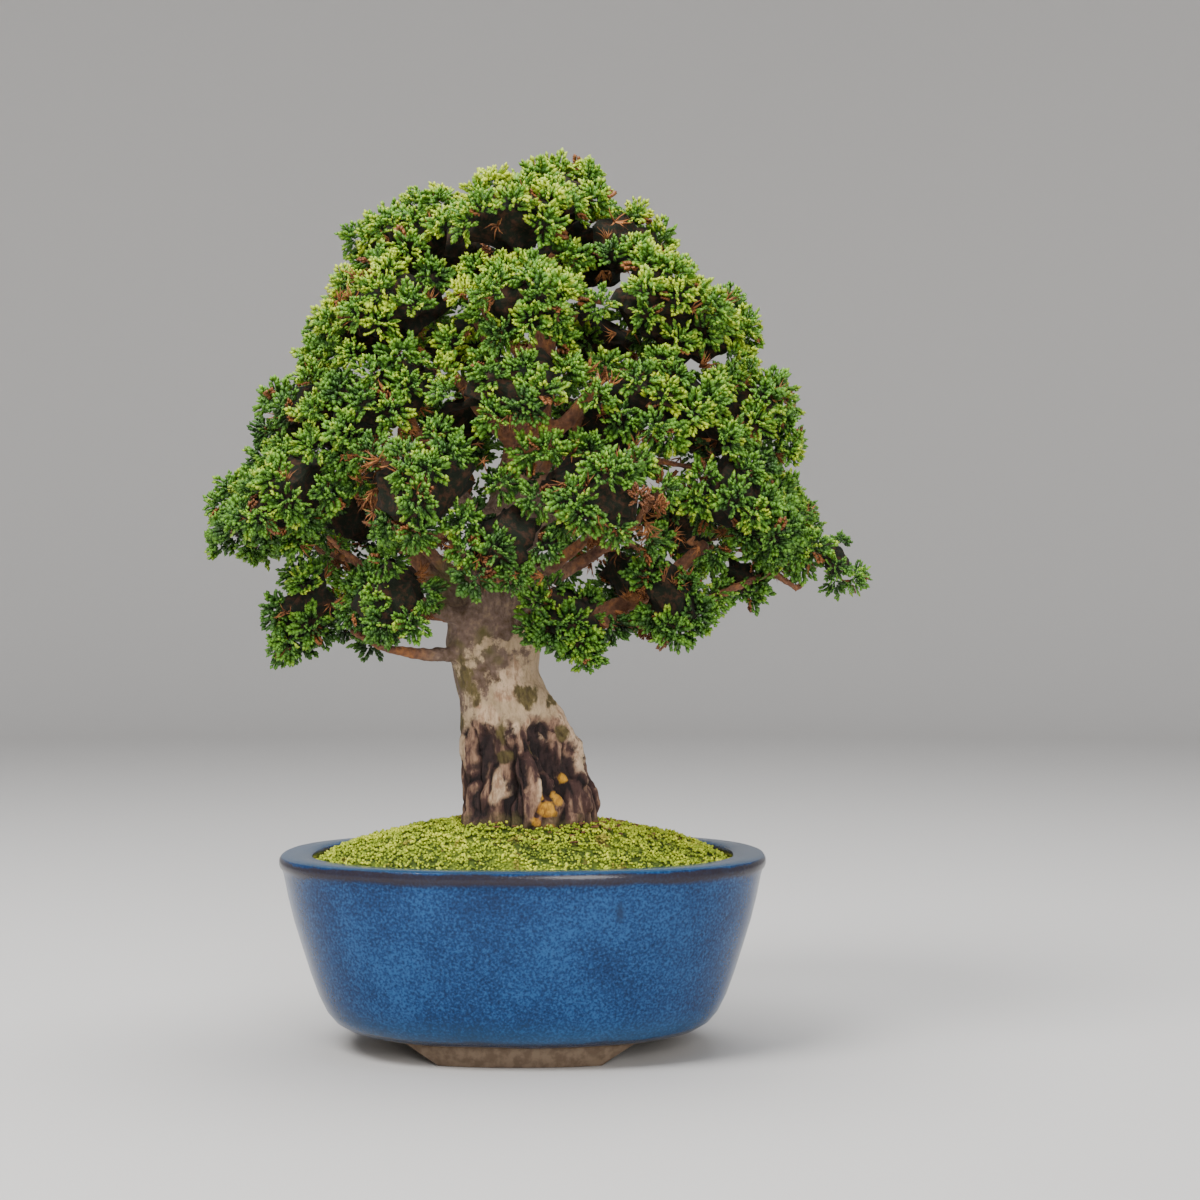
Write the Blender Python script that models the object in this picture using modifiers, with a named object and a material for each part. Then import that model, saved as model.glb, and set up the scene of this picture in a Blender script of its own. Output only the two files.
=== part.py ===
"""Hinoki cypress bonsai in an oval glazed pot.

A broad dome of fan-shaped sprays on a stout fluted trunk, planted in soil under a carpet of moss.
Units are metres, +Z is up and the front of the tree faces -Y. The pot stands on its two feet at z = 0.
"""

import math
import random

import bmesh
import bpy
from mathutils import Matrix, Vector, noise
from mathutils.bvhtree import BVHTree

# Pot
POT_LENGTH = 0.130
POT_DEPTH = 0.104
POT_HEIGHT = 0.052
POT_OVAL = 2.35
POT_STEPS = 40
FOOT_HEIGHT = 0.005
FLOOR_TOP = 0.010
# Outer side from the rim down: inset from the pot's half length, height
POT_OUTER = (
    (0.0008, POT_HEIGHT),
    (0.0000, 0.0510),
    (0.0001, 0.0490),
    (0.0014, 0.0472),
    (0.0062, 0.0280),
    (0.0108, 0.0150),
    (0.0160, 0.0075),
    (0.0215, FOOT_HEIGHT),
)
# Inner side from the floor up: inset from the pot's half length, height
POT_INNER = (
    (0.0230, FLOOR_TOP),
    (0.0130, 0.0240),
    (0.0092, 0.0430),
    (0.0090, 0.0512),
    (0.0082, POT_HEIGHT),
)
FOOT_RING_HALF = 0.043
FOOT_THICKNESS = 0.007
FOOT_INSET = 0.0012
FOOT_SINK = 0.001
# Where the feet end across the pot, at the top and the bottom of the cutter that slants them
FOOT_END_TOP = 0.0313
FOOT_END_BOTTOM = 0.0197
FOOT_CUTTER_REACH = 0.080
FOOT_CUTTER_TOP = 0.007
DRAIN_RADIUS = 0.007
DRAIN_SIDES = 24

# Fit between neighbouring solids, and the cutters' overshoot past what they cut
GAP = 0.0003
CUT_PAST = 0.001
WELD = 0.000001
SLIVER = 0.000002
TURN_WELD = 0.00005

# Screen, soil and moss
SCREEN_RADIUS = 0.011
SCREEN_THICKNESS = 0.0008
SCREEN_HOLE = 0.0026
SCREEN_PITCH = 0.0040
SCREEN_SIDES = 20
SOIL_TOP = 0.0440
SOIL_GAP = 0.0005
MOSS_GAP = 0.0007
FILL_STEPS = 30
MOSS_EDGE_TOP = 0.0500
MOSS_EDGE_DROP = 0.0012
MOSS_CROWN_TOP = 0.0600
MOSS_RINGS = (0.0, 0.34, 0.56, 0.76, 0.92)
MOSS_DOME = 2.4
MOSS_BUMP = 0.0010
MOSS_BUMP_SCALE = 110.0

# Trunk: height, centre x, centre y, half width
TRUNK_LINE = (
    (0.030, 0.0010, 0.000, 0.0140),
    (0.044, 0.0010, 0.000, 0.0160),
    (0.054, 0.0010, 0.000, 0.0176),
    (0.068, 0.0010, 0.000, 0.0174),
    (0.079, -0.0012, 0.000, 0.0151),
    (0.090, -0.0040, 0.001, 0.0125),
    (0.100, -0.0075, 0.001, 0.0114),
    (0.108, -0.0083, 0.001, 0.0128),
    (0.118, -0.0090, 0.002, 0.0112),
    (0.135, -0.0050, 0.003, 0.0085),
    (0.155, 0.0000, 0.004, 0.0066),
    (0.175, 0.0030, 0.003, 0.0048),
    (0.195, 0.0060, 0.002, 0.0032),
    (0.212, 0.0080, 0.001, 0.0019),
)
TRUNK_SIDES = 16
TRUNK_STEP = 0.0070
TRUNK_UPPER_STEP = 0.0190
TRUNK_DEPTH_SHARE = 0.88
FLUTE_DEPTH = 0.19
FLUTE_BOTTOM = 0.046
FLUTE_FULL = 0.078
FLUTE_TOP = 0.112
FLUTE_RISE = 0.008
FLUTE_TWIST = 14.0
# Waves that make the flutes: number round the trunk, share of the depth, turn direction, start angle
FLUTE_WAVES = ((5, 0.62, 1.0, 0.0), (8, 0.38, -1.0, 1.0))

# Boughs that the front view shows: points from the trunk outwards, start and end radius
FRONT_BOUGHS = (
    (((-0.012, 0.000, 0.112), (-0.025, -0.004, 0.126), (-0.033, -0.006, 0.143), (-0.037, -0.006, 0.160)),
     0.0042, 0.0018),
    (((-0.031, -0.005, 0.138), (-0.040, -0.006, 0.146), (-0.047, -0.008, 0.151)), 0.0026, 0.0013),
    (((-0.014, -0.002, 0.105), (-0.026, -0.008, 0.105), (-0.037, -0.012, 0.107)), 0.0026, 0.0012),
    (((-0.014, -0.004, 0.114), (-0.030, -0.014, 0.120), (-0.044, -0.016, 0.130)), 0.0028, 0.0013),
    (((-0.002, -0.002, 0.108), (0.016, -0.010, 0.114), (0.034, -0.014, 0.122), (0.048, -0.014, 0.134)),
     0.0040, 0.0018),
    (((0.018, -0.010, 0.1145), (0.036, -0.018, 0.1125), (0.050, -0.019, 0.120), (0.066, -0.016, 0.127)),
     0.0022, 0.0011),
)

# Boughs that follow a rule, ring by ring:
# height on the trunk, height of the tips, share of the crown's reach, count, first azimuth in degrees
BOUGH_RINGS = (
    (0.110, 0.122, 0.55, 2, 62),
    (0.122, 0.137, 0.56, 4, 35),
    (0.138, 0.158, 0.56, 5, 70),
    (0.160, 0.182, 0.52, 4, 20),
    (0.182, 0.203, 0.45, 3, 80),
)
REAR_RING_TURN = 60
BOUGH_START = 0.0032
BOUGH_START_SHARE = 0.55
BOUGH_END = 0.0014
BOUGH_SAG = 0.003
FRONT_BOUGH_SPANS = 2
RING_BOUGH_SPANS = 1
TWIG_START = 0.0014
TWIG_END = 0.0010
TWIG_KNEE = 0.0025
# Heights on the upper trunk that twigs may start from
TWIG_ROOTS = (0.195, 0.208)
BOUGH_RESOLUTION = 1
TWIG_RESOLUTION = 0

# Crown: height, reach to the left, reach to the right
CROWN_REACH = (
    (0.105, 0.058, 0.040),
    (0.118, 0.068, 0.056),
    (0.130, 0.083, 0.080),
    (0.142, 0.087, 0.081),
    (0.155, 0.080, 0.076),
    (0.170, 0.071, 0.075),
    (0.182, 0.062, 0.068),
    (0.195, 0.060, 0.060),
    (0.207, 0.051, 0.048),
    (0.220, 0.041, 0.038),
    (0.232, 0.022, 0.026),
)
CROWN_DEPTH_SHARE = 0.86

# Tiers of pads: height, count, first azimuth in degrees
PAD_TIERS = (
    (0.142, 9, 10),
    (0.165, 9, 30),
    (0.189, 7, 12),
    (0.210, 5, 52),
)
FRONT_LIFT = 0.004
# Pads face away from this height on the axis, and up by this share
PAD_HEART = 0.128
PAD_LIFT = 0.75
# Pads out of the rule: x, y, z and size
SINGLE_PADS = (
    (0.008, 0.000, 0.2240, 1.00),
    (0.030, 0.044, 0.124, 0.90),
    (-0.006, 0.052, 0.125, 0.95),
    (-0.040, 0.038, 0.122, 0.90),
    (-0.053, -0.010, 0.1155, 0.75),
    (-0.031, -0.034, 0.1190, 0.70),
    (0.012, -0.030, 0.1130, 0.62),
    (0.036, -0.034, 0.1180, 0.70),
    (0.057, -0.012, 0.1240, 0.55),
    (0.079, -0.016, 0.1275, 0.55),
    (-0.006, -0.050, 0.1310, 0.75),
)
PAD_REACH = 0.0210
CORE_HALF = (0.0148, 0.0136, 0.0104)
CORE_BUMP = 0.0018
CORE_BUMP_SCALE = 190.0
BARE_UNDERSIDE = -0.9
HEART_ATTEMPTS = 9
HEART_SHRINK = 0.06
HEART_MARGIN = 1.03
HEART_GUARD = 1.09
FANS_AROUND = 5
FANS_AROUND_SMALL = 4
FAN_BETWEEN = 0.9
SMALL_PAD = 0.8
FAN_LENGTH = 0.0135
FAN_THICKNESS = 0.0008
FAN_TIPS = 4
FAN_SPREAD = 54
FAN_NOTCH = 0.70
FAN_WAVE = 0.0012
FAN_ROUND = 0.14
FAN_ROOT_HALF = 0.0009
FAN_STAND = 0.0006
FAN_TILT = 0.30
FAN_LOWEST = 0.0
FAN_HIGHEST = 0.6
FAN_CLEARANCE = 0.0004
FAN_ATTEMPTS = 9
FAN_SHRINK = 0.05
FAN_VARIES = 0.07
SEED = 27

# Colours and roughness of the materials
GLAZE_LOOK = ((0.035, 0.115, 0.320), 0.18)
NET_LOOK = ((0.030, 0.030, 0.030), 0.60)
SOIL_LOOK = ((0.120, 0.085, 0.060), 0.95)
MOSS_LOOK = ((0.330, 0.400, 0.060), 0.95)
BARK_LOOK = ((0.230, 0.165, 0.115), 0.90)
LEAF_LOOK = ((0.070, 0.190, 0.045), 0.70)


def remove_all():
    """Empty the scene."""
    for obj in list(bpy.data.objects):
        bpy.data.objects.remove(obj, do_unlink=True)


def new_collection(name):
    """Make a collection in the scene."""
    made = bpy.data.collections.new(name)
    bpy.context.scene.collection.children.link(made)
    return made


def material(name, look):
    """Make a plain Principled material from a colour and a roughness."""
    colour, roughness = look
    made = bpy.data.materials.new(name)
    made.use_nodes = True
    shader = made.node_tree.nodes["Principled BSDF"]
    shader.inputs["Base Color"].default_value = (*colour, 1.0)
    shader.inputs["Roughness"].default_value = roughness
    made.diffuse_color = (*colour, 1.0)
    return made


def read_table(table, height):
    """Read the other columns of a table at a height, in straight lines between its rows."""
    if height <= table[0][0]:
        return table[0][1:]
    for low, high in zip(table, table[1:]):
        if height <= high[0]:
            share = (height - low[0]) / (high[0] - low[0])
            return tuple(a + (b - a) * share for a, b in zip(low[1:], high[1:]))
    return table[-1][1:]


def mesh_object(name, form, collection, finish=None):
    """Turn a bmesh into an object in a collection."""
    mesh = bpy.data.meshes.new(name)
    form.to_mesh(mesh)
    form.free()
    made = bpy.data.objects.new(name, mesh)
    collection.objects.link(made)
    if finish:
        mesh.materials.append(finish)
    return made


def bake(obj):
    """Apply an object's modifiers, or turn its curve into a welded mesh."""
    bpy.context.view_layer.update()
    evaluated = obj.evaluated_get(bpy.context.evaluated_depsgraph_get())
    mesh = bpy.data.meshes.new_from_object(evaluated)
    form = bmesh.new()
    form.from_mesh(mesh)
    bmesh.ops.remove_doubles(form, verts=form.verts, dist=WELD)
    form.to_mesh(mesh)
    form.free()
    name, home = obj.name, obj.users_collection[0]
    place = obj.matrix_world.copy()
    bpy.data.objects.remove(obj, do_unlink=True)
    made = bpy.data.objects.new(name, mesh)
    made.matrix_world = place
    home.objects.link(made)
    return made


def turned(name, profile, steps, collection):
    """Turn a profile of (radius, height) points about +Z. It runs down its outer side."""
    form = bmesh.new()
    points = [form.verts.new((radius, 0.0, height)) for radius, height in profile]
    for first, second in zip(points, points[1:]):
        form.edges.new((first, second))
    made = mesh_object(name, form, collection)
    screw = made.modifiers.new("turn", "SCREW")
    screw.steps = steps
    screw.render_steps = steps
    screw.use_merge_vertices = True
    screw.merge_threshold = TURN_WELD
    return bake(made)


def make_oval(obj):
    """Press a round turned form into the pot's oval."""
    for vertex in obj.data.vertices:
        point = vertex.co
        angle = math.atan2(point.y, point.x)
        lobe = abs(math.cos(angle)) ** POT_OVAL + abs(math.sin(angle)) ** POT_OVAL
        swell = lobe ** (-1.0 / POT_OVAL)
        point.x *= swell
        point.y *= swell * POT_DEPTH / POT_LENGTH


def boolean(obj, operation, other=None, group=None, solver="EXACT"):
    """Join or cut an object with another object or a whole collection, and apply it."""
    cut = obj.modifiers.new(operation.lower(), "BOOLEAN")
    cut.operation = operation
    cut.solver = solver
    if group:
        cut.operand_type = "COLLECTION"
        cut.collection = group
    else:
        cut.object = other
    return bake(obj)


def clear(collection):
    """Remove a helper collection with its objects."""
    for obj in list(collection.objects):
        bpy.data.objects.remove(obj, do_unlink=True)
    bpy.data.collections.remove(collection)


def keep_largest_body(obj):
    """Drop loose scraps and sealed inner shells that a union leaves."""
    form = bmesh.new()
    form.from_mesh(obj.data)
    bmesh.ops.remove_doubles(form, verts=form.verts, dist=SLIVER)
    bmesh.ops.triangulate(form, faces=form.faces)
    waiting = set(form.faces)
    bodies = []
    while waiting:
        stack = [waiting.pop()]
        body = []
        while stack:
            face = stack.pop()
            body.append(face)
            for edge in face.edges:
                for near in edge.link_faces if len(edge.link_faces) == 2 else ():
                    if near in waiting:
                        waiting.remove(near)
                        stack.append(near)
        bodies.append(body)
    bodies.sort(key=len)
    loose = [face for body in bodies[:-1] for face in body]
    bmesh.ops.delete(form, geom=loose, context="FACES")
    form.to_mesh(obj.data)
    form.free()


def cylinder(name, radius, low, high, sides, collection):
    """Make an upright cylinder between two heights."""
    form = bmesh.new()
    bmesh.ops.create_cone(form, cap_ends=True, segments=sides, radius1=radius, radius2=radius,
                          depth=high - low)
    bmesh.ops.translate(form, verts=form.verts, vec=(0.0, 0.0, (low + high) / 2))
    return mesh_object(name, form, collection)


def outer_profile():
    """Give the pot's outer side from the rim down, as (half length, height) points."""
    return [(POT_LENGTH / 2 - inset, height) for inset, height in POT_OUTER]


def inner_profile():
    """Give the pot's inner side from the floor up, as (half length, height) points."""
    return [(POT_LENGTH / 2 - inset, height) for inset, height in POT_INNER]


def build_foot_ring(collection, cutters):
    """Make the two feet: an oval ring with both ends cut away on a slant."""
    outer = FOOT_RING_HALF
    inner = FOOT_RING_HALF - FOOT_THICKNESS
    top = FOOT_HEIGHT + FOOT_SINK
    profile = [(outer, top), (outer - FOOT_INSET, 0.0), (inner, 0.0), (inner, top), (outer, top)]
    ring = turned("foot_ring", profile, POT_STEPS, collection)
    make_oval(ring)
    for side in (-1, 1):
        form = bmesh.new()
        bmesh.ops.create_cube(form, size=POT_DEPTH)
        for vertex in form.verts:
            near = vertex.co.x * side < 0
            end = FOOT_END_TOP if vertex.co.z > 0 else FOOT_END_BOTTOM
            vertex.co.x = side * (end if near else FOOT_CUTTER_REACH)
            vertex.co.z = FOOT_CUTTER_TOP if vertex.co.z > 0 else -CUT_PAST
        bmesh.ops.recalc_face_normals(form, faces=form.faces)
        cutter = mesh_object("foot_end_cutter", form, cutters)
        ring = boolean(ring, "DIFFERENCE", cutter)
        bpy.data.objects.remove(cutter, do_unlink=True)
    return ring


def build_pot(collection, cutters, finish):
    """Make the pot: an oval bowl with a flat rim, a drain hole and two feet."""
    profile = [(0.0, FLOOR_TOP)] + inner_profile() + outer_profile() + [(0.0, FOOT_HEIGHT)]
    pot = turned("pot", profile, POT_STEPS, collection)
    make_oval(pot)
    drain = cylinder("drain_cutter", DRAIN_RADIUS, 0.0, FLOOR_TOP + CUT_PAST, DRAIN_SIDES, cutters)
    pot = boolean(pot, "DIFFERENCE", drain)
    bpy.data.objects.remove(drain, do_unlink=True)
    feet = build_foot_ring(cutters, cutters)
    pot = boolean(pot, "UNION", feet)
    bpy.data.objects.remove(feet, do_unlink=True)
    pot.data.materials.append(finish)
    return pot


def build_screen(collection, finish):
    """Make the plastic net that lies over the drain hole."""
    low = FLOOR_TOP + GAP
    screen = cylinder("drain_screen", SCREEN_RADIUS, low, low + SCREEN_THICKNESS, SCREEN_SIDES, collection)
    holes = new_collection("screen_holes")
    for column in (-1, 0, 1):
        for row in (-1, 0, 1):
            form = bmesh.new()
            bmesh.ops.create_cube(form, size=SCREEN_HOLE)
            bmesh.ops.translate(form, verts=form.verts,
                                vec=(column * SCREEN_PITCH, row * SCREEN_PITCH, low))
            mesh_object("screen_hole", form, holes)
    screen = boolean(screen, "DIFFERENCE", group=holes)
    clear(holes)
    screen.data.materials.append(finish)
    return screen


def flute(angle, height):
    """Give the factor by which the root base swells and hollows round the trunk."""
    rise = max(0.0, min(1.0, (height - FLUTE_BOTTOM) / FLUTE_RISE))
    fade = max(0.0, min(1.0, (FLUTE_TOP - height) / (FLUTE_TOP - FLUTE_FULL)))
    turn = FLUTE_TWIST * height
    wave = sum(share * math.cos(number * angle + way * turn + first)
               for number, share, way, first in FLUTE_WAVES)
    return 1.0 + FLUTE_DEPTH * rise * fade * wave


def trunk_levels():
    """List the heights of the trunk's sections, close together over the flutes and wide above."""
    levels = []
    height, high = TRUNK_LINE[0][0], TRUNK_LINE[-1][0]
    while height < high - TRUNK_STEP / 2:
        levels.append(height)
        height += TRUNK_STEP if height < FLUTE_TOP else TRUNK_UPPER_STEP
    return levels + [high]


def trunk_loft(name, levels, grow, collection):
    """Loft the trunk's sections at the given levels, each grown outwards by a margin."""
    form = bmesh.new()
    rings = []
    for height in levels:
        x, y, half = read_table(TRUNK_LINE, height)
        ring = []
        for side in range(TRUNK_SIDES):
            angle = math.tau * side / TRUNK_SIDES
            radius = half * flute(angle, height)
            ring.append(form.verts.new((
                x + math.cos(angle) * (radius + grow),
                y + math.sin(angle) * (radius * TRUNK_DEPTH_SHARE + grow),
                height - (grow if height == levels[0] else 0.0))))
        rings.append(ring)
    for lower, upper in zip(rings, rings[1:]):
        for side in range(TRUNK_SIDES):
            after = (side + 1) % TRUNK_SIDES
            form.faces.new((lower[side], lower[after], upper[after]))
            form.faces.new((lower[side], upper[after], upper[side]))
    form.faces.new(reversed(rings[0]))
    form.faces.new(rings[-1])
    return mesh_object(name, form, collection)


def build_soil(collection, cutters, finish):
    """Make the soil that fills the pot, with a hole for the root base and a recess for the screen."""
    floor, *wall = [(radius - SOIL_GAP, height) for radius, height in inner_profile()[:3]]
    bottom = FLOOR_TOP + GAP
    rise = [(0.0, bottom), (floor[0], bottom)] + wall + [(wall[-1][0], SOIL_TOP), (0.0, SOIL_TOP)]
    soil = turned("soil", rise[::-1], FILL_STEPS, collection)
    make_oval(soil)
    levels = [level for level in trunk_levels() if level < SOIL_TOP + 2 * TRUNK_STEP]
    hole = trunk_loft("root_hole", levels, GAP, cutters)
    soil = boolean(soil, "DIFFERENCE", hole)
    bpy.data.objects.remove(hole, do_unlink=True)
    recess = cylinder("screen_recess", SCREEN_RADIUS + 2 * GAP, FLOOR_TOP - CUT_PAST,
                      FLOOR_TOP + SCREEN_THICKNESS + 2 * GAP, SCREEN_SIDES, cutters)
    soil = boolean(soil, "DIFFERENCE", recess)
    bpy.data.objects.remove(recess, do_unlink=True)
    soil.data.materials.append(finish)
    return soil


def build_moss(collection, cutters, finish):
    """Make the moss carpet: a low bumpy mound with a hole for the trunk."""
    edge = inner_profile()[2][0] - MOSS_GAP
    drop = MOSS_CROWN_TOP - MOSS_EDGE_TOP
    bottom = SOIL_TOP + GAP
    top = [(edge * share, MOSS_CROWN_TOP - drop * share ** MOSS_DOME) for share in MOSS_RINGS]
    profile = top + [(edge, MOSS_EDGE_TOP - MOSS_EDGE_DROP), (edge, bottom), (0.0, bottom)]
    moss = turned("moss", profile, FILL_STEPS, collection)
    make_oval(moss)
    for vertex in moss.data.vertices:
        if vertex.co.z > MOSS_EDGE_TOP:
            vertex.co.z += MOSS_BUMP * noise.noise(vertex.co * MOSS_BUMP_SCALE)
    levels = [level for level in trunk_levels() if level < MOSS_CROWN_TOP + 2 * TRUNK_STEP]
    hole = trunk_loft("trunk_hole", levels, GAP, cutters)
    moss = boolean(moss, "DIFFERENCE", hole)
    bpy.data.objects.remove(hole, do_unlink=True)
    moss.data.materials.append(finish)
    return moss


def smooth_path(points, spans):
    """Sample a smooth curve through points, with a number of spans between each pair."""
    points = [Vector(point) for point in points]
    ends = [2 * points[0] - points[1]] + points + [2 * points[-1] - points[-2]]
    path = []
    for first, second, third, fourth in zip(ends, ends[1:], ends[2:], ends[3:]):
        for step in range(spans):
            t = step / spans
            path.append(0.5 * (2 * second + (third - first) * t
                               + (2 * first - 5 * second + 4 * third - fourth) * t ** 2
                               + (3 * second - 3 * third + fourth - first) * t ** 3))
    path.append(points[-1])
    return path


def tube(name, path, start, end, resolution, collection):
    """Make a tapered branch along a path."""
    curve = bpy.data.curves.new(name, "CURVE")
    curve.dimensions = "3D"
    curve.bevel_depth = start
    curve.bevel_resolution = resolution
    curve.use_fill_caps = True
    spline = curve.splines.new("POLY")
    spline.points.add(len(path) - 1)
    for index, (point, place) in enumerate(zip(spline.points, path)):
        point.co = (*place, 1.0)
        point.radius = 1.0 + (end / start - 1.0) * index / (len(path) - 1)
    made = bpy.data.objects.new(name, curve)
    collection.objects.link(made)
    return bake(made)


def crown_place(height, azimuth, inset, share=1.0):
    """Give a point in the crown at a height and an azimuth in degrees, inset from its outside."""
    left, right = read_table(CROWN_REACH, height)
    turn = math.radians(azimuth)
    across, along = math.cos(turn), math.sin(turn)
    reach = right if across > 0 else left
    depth = (left + right) / 2 * CROWN_DEPTH_SHARE
    return Vector((across * (reach - inset) * share, along * (depth - inset) * share, height))


def place_boughs():
    """Give each bough's path with its start and end radius."""
    boughs = []
    for points, start, end in FRONT_BOUGHS:
        boughs.append((smooth_path(points, FRONT_BOUGH_SPANS), start, end))
    for ring, (root_height, tip_height, share, count, first) in enumerate(BOUGH_RINGS):
        step = REAR_RING_TURN if ring == 0 else 360 / count
        for index in range(count):
            azimuth = first + step * index
            root_x, root_y, half = read_table(TRUNK_LINE, root_height)
            root = Vector((root_x, root_y, root_height))
            tip = crown_place(tip_height, azimuth, PAD_REACH, share)
            middle = root.lerp(tip, 0.5) - Vector((0.0, 0.0, BOUGH_SAG))
            start = min(BOUGH_START, half * BOUGH_START_SHARE)
            boughs.append((smooth_path((root, middle, tip), RING_BOUGH_SPANS), start, BOUGH_END))
    return boughs


def place_pads():
    """Give each pad's foot, where its twig ends, with its outward direction and size."""
    places = []
    for height, count, first in PAD_TIERS:
        for index in range(count):
            azimuth = first + 360 * index / count
            place = crown_place(height, azimuth, PAD_REACH)
            place.z += FRONT_LIFT * max(0.0, -math.sin(math.radians(azimuth)))
            places.append((place, 1.0))
    places += [(Vector(row[:3]), row[3]) for row in SINGLE_PADS]
    pads = []
    heart = Vector((0.0, 0.0, PAD_HEART))
    for centre, size in places:
        outward = ((centre - heart).normalized() + Vector((0.0, 0.0, PAD_LIFT))).normalized()
        pads.append((centre - outward * (CORE_HALF[2] * size + GAP), outward, size))
    return pads


def twig_start(target, roots):
    """Choose the nearest root point that lies inside and below a pad."""
    def cost(point):
        inside = max(0.0, point.xy.length - target.xy.length)
        above = max(0.0, point.z - target.z)
        return (point - target).length + 2.0 * inside + 2.0 * above
    return min(roots, key=cost)


def build_wood(collection, pads, finish):
    """Make the trunk, boughs and twigs as one grown piece."""
    wood = trunk_loft("trunk_and_branches", trunk_levels(), 0.0, collection)
    limbs = new_collection("limbs")
    boughs = place_boughs()
    for path, start, end in boughs:
        tube("bough", path, start, end, BOUGH_RESOLUTION, limbs)
    roots = [point for path, start, end in boughs for point in path[1:]]
    roots += [Vector((*read_table(TRUNK_LINE, height)[:2], height)) for height in TWIG_ROOTS]
    for target, outward, size in pads:
        root = twig_start(target, roots)
        knee = target - outward * TWIG_KNEE
        tube("twig", (root, knee, target), TWIG_START, TWIG_END, TWIG_RESOLUTION, limbs)
    wood = boolean(wood, "UNION", group=limbs, solver="MANIFOLD")
    clear(limbs)
    keep_largest_body(wood)
    wood.data.materials.append(finish)
    return wood


def blade_axes(direction, twist):
    """Give the axes of a spray's blade: along it, across it and through its thickness."""
    across = direction.orthogonal().normalized()
    across.rotate(Matrix.Rotation(twist, 3, direction))
    return direction, across, direction.cross(across)


def spray_points(root, axes, length, thickness, draw):
    """Give the outline of a spray's upper and lower face, from its root round its lobes."""
    along, across, through = axes
    spread = math.radians(FAN_SPREAD)
    last = 2 * FAN_TIPS - 2
    outline = [root - across * FAN_ROOT_HALF]
    for step in range(last + 1):
        angle = spread * (2 * step / last - 1.0)
        reach = length * (1.0 - FAN_ROUND * abs(angle / spread))
        if step % 2:
            reach *= FAN_NOTCH
        wave = draw.uniform(-1.0, 1.0) * FAN_WAVE
        outline.append(root + along * reach * math.cos(angle) + across * reach * math.sin(angle)
                       + through * wave)
    outline.append(root + across * FAN_ROOT_HALF)
    upper = [point + through * thickness / 2 for point in outline]
    lower = [point - through * thickness / 2 for point in outline]
    return upper, lower


def spray_faces(upper, lower, closed):
    """List the corners of a spray's faces, both sides split alike from the root."""
    count = len(upper)
    faces = [(upper[0], upper[1], upper[-1]), (lower[-1], lower[1], lower[0])]
    for index in range(1, count - 2):
        faces.append((upper[-1], upper[index], upper[index + 1]))
        faces.append((lower[-1], lower[index + 1], lower[index]))
    for index in range(count if closed else count - 1):
        after = (index + 1) % count
        faces.append((upper[index], lower[index], lower[after]))
        faces.append((upper[index], lower[after], upper[after]))
    return faces


def spray_tree(upper, lower):
    """Give the search tree of a spray on its own."""
    points = upper + lower
    count = len(upper)
    faces = spray_faces(list(range(count)), list(range(count, 2 * count)), True)
    return BVHTree.FromPolygons(points, faces)


def tree_of_object(obj):
    """Give the search tree of an object's mesh."""
    form = bmesh.new()
    form.from_mesh(obj.data)
    tree = BVHTree.FromBMesh(form)
    form.free()
    return tree


def heart_form(foot, outward, size, margin=1.0):
    """Make a pad's dense heart just past its twig: a bumpy rounded block of four-sided faces."""
    centre = foot + outward * (CORE_HALF[2] * size + GAP)
    form = bmesh.new()
    bmesh.ops.create_cube(form, size=2.0)
    bmesh.ops.subdivide_edges(form, edges=form.edges, cuts=1, use_grid_fill=True)
    for vertex in form.verts:
        vertex.co = Vector(a * half * size * margin for a, half in zip(vertex.co.normalized(), CORE_HALF))
    rotation = outward.to_track_quat("Z", "X").to_matrix().to_4x4()
    bmesh.ops.transform(form, matrix=Matrix.Translation(centre) @ rotation, verts=form.verts)
    for vertex in form.verts:
        from_heart = (vertex.co - centre).normalized()
        if from_heart.dot(outward) > BARE_UNDERSIDE:
            vertex.co += from_heart * CORE_BUMP * noise.noise(vertex.co * CORE_BUMP_SCALE)
    return form


def grow_spray(form, face, upper, lower):
    """Open a face of the heart round a spray's root and join the spray to it."""
    corners = [corner.co.copy() for corner in face.verts]
    rim = list(face.verts)
    top = [form.verts.new(point) for point in upper]
    bottom = [form.verts.new(point) for point in lower]
    root = [bottom[0], bottom[-1], top[-1], top[0]]
    normal = face.normal.copy()
    middle = sum((vertex.co for vertex in root), Vector()) / 4
    ring = sorted(root, key=lambda v: turn_about(v.co - middle, corners[0] - middle, normal))
    form.faces.remove(face)
    shift = min(range(4), key=lambda s: sum((ring[(i + s) % 4].co - corners[i]).length for i in range(4)))
    ring = [ring[(i + shift) % 4] for i in range(4)]
    for index in range(4):
        after = (index + 1) % 4
        form.faces.new((rim[index], rim[after], ring[after]))
        form.faces.new((rim[index], ring[after], ring[index]))
    for corners_of_face in spray_faces(top, bottom, False):
        form.faces.new(corners_of_face)


def turn_about(point, start, normal):
    """Give the angle from a start direction to a point, seen against a normal."""
    flat = point - normal * point.dot(normal)
    base = (start - normal * start.dot(normal)).normalized()
    side = normal.cross(base)
    return math.atan2(flat.dot(side), flat.dot(base)) % math.tau


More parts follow.
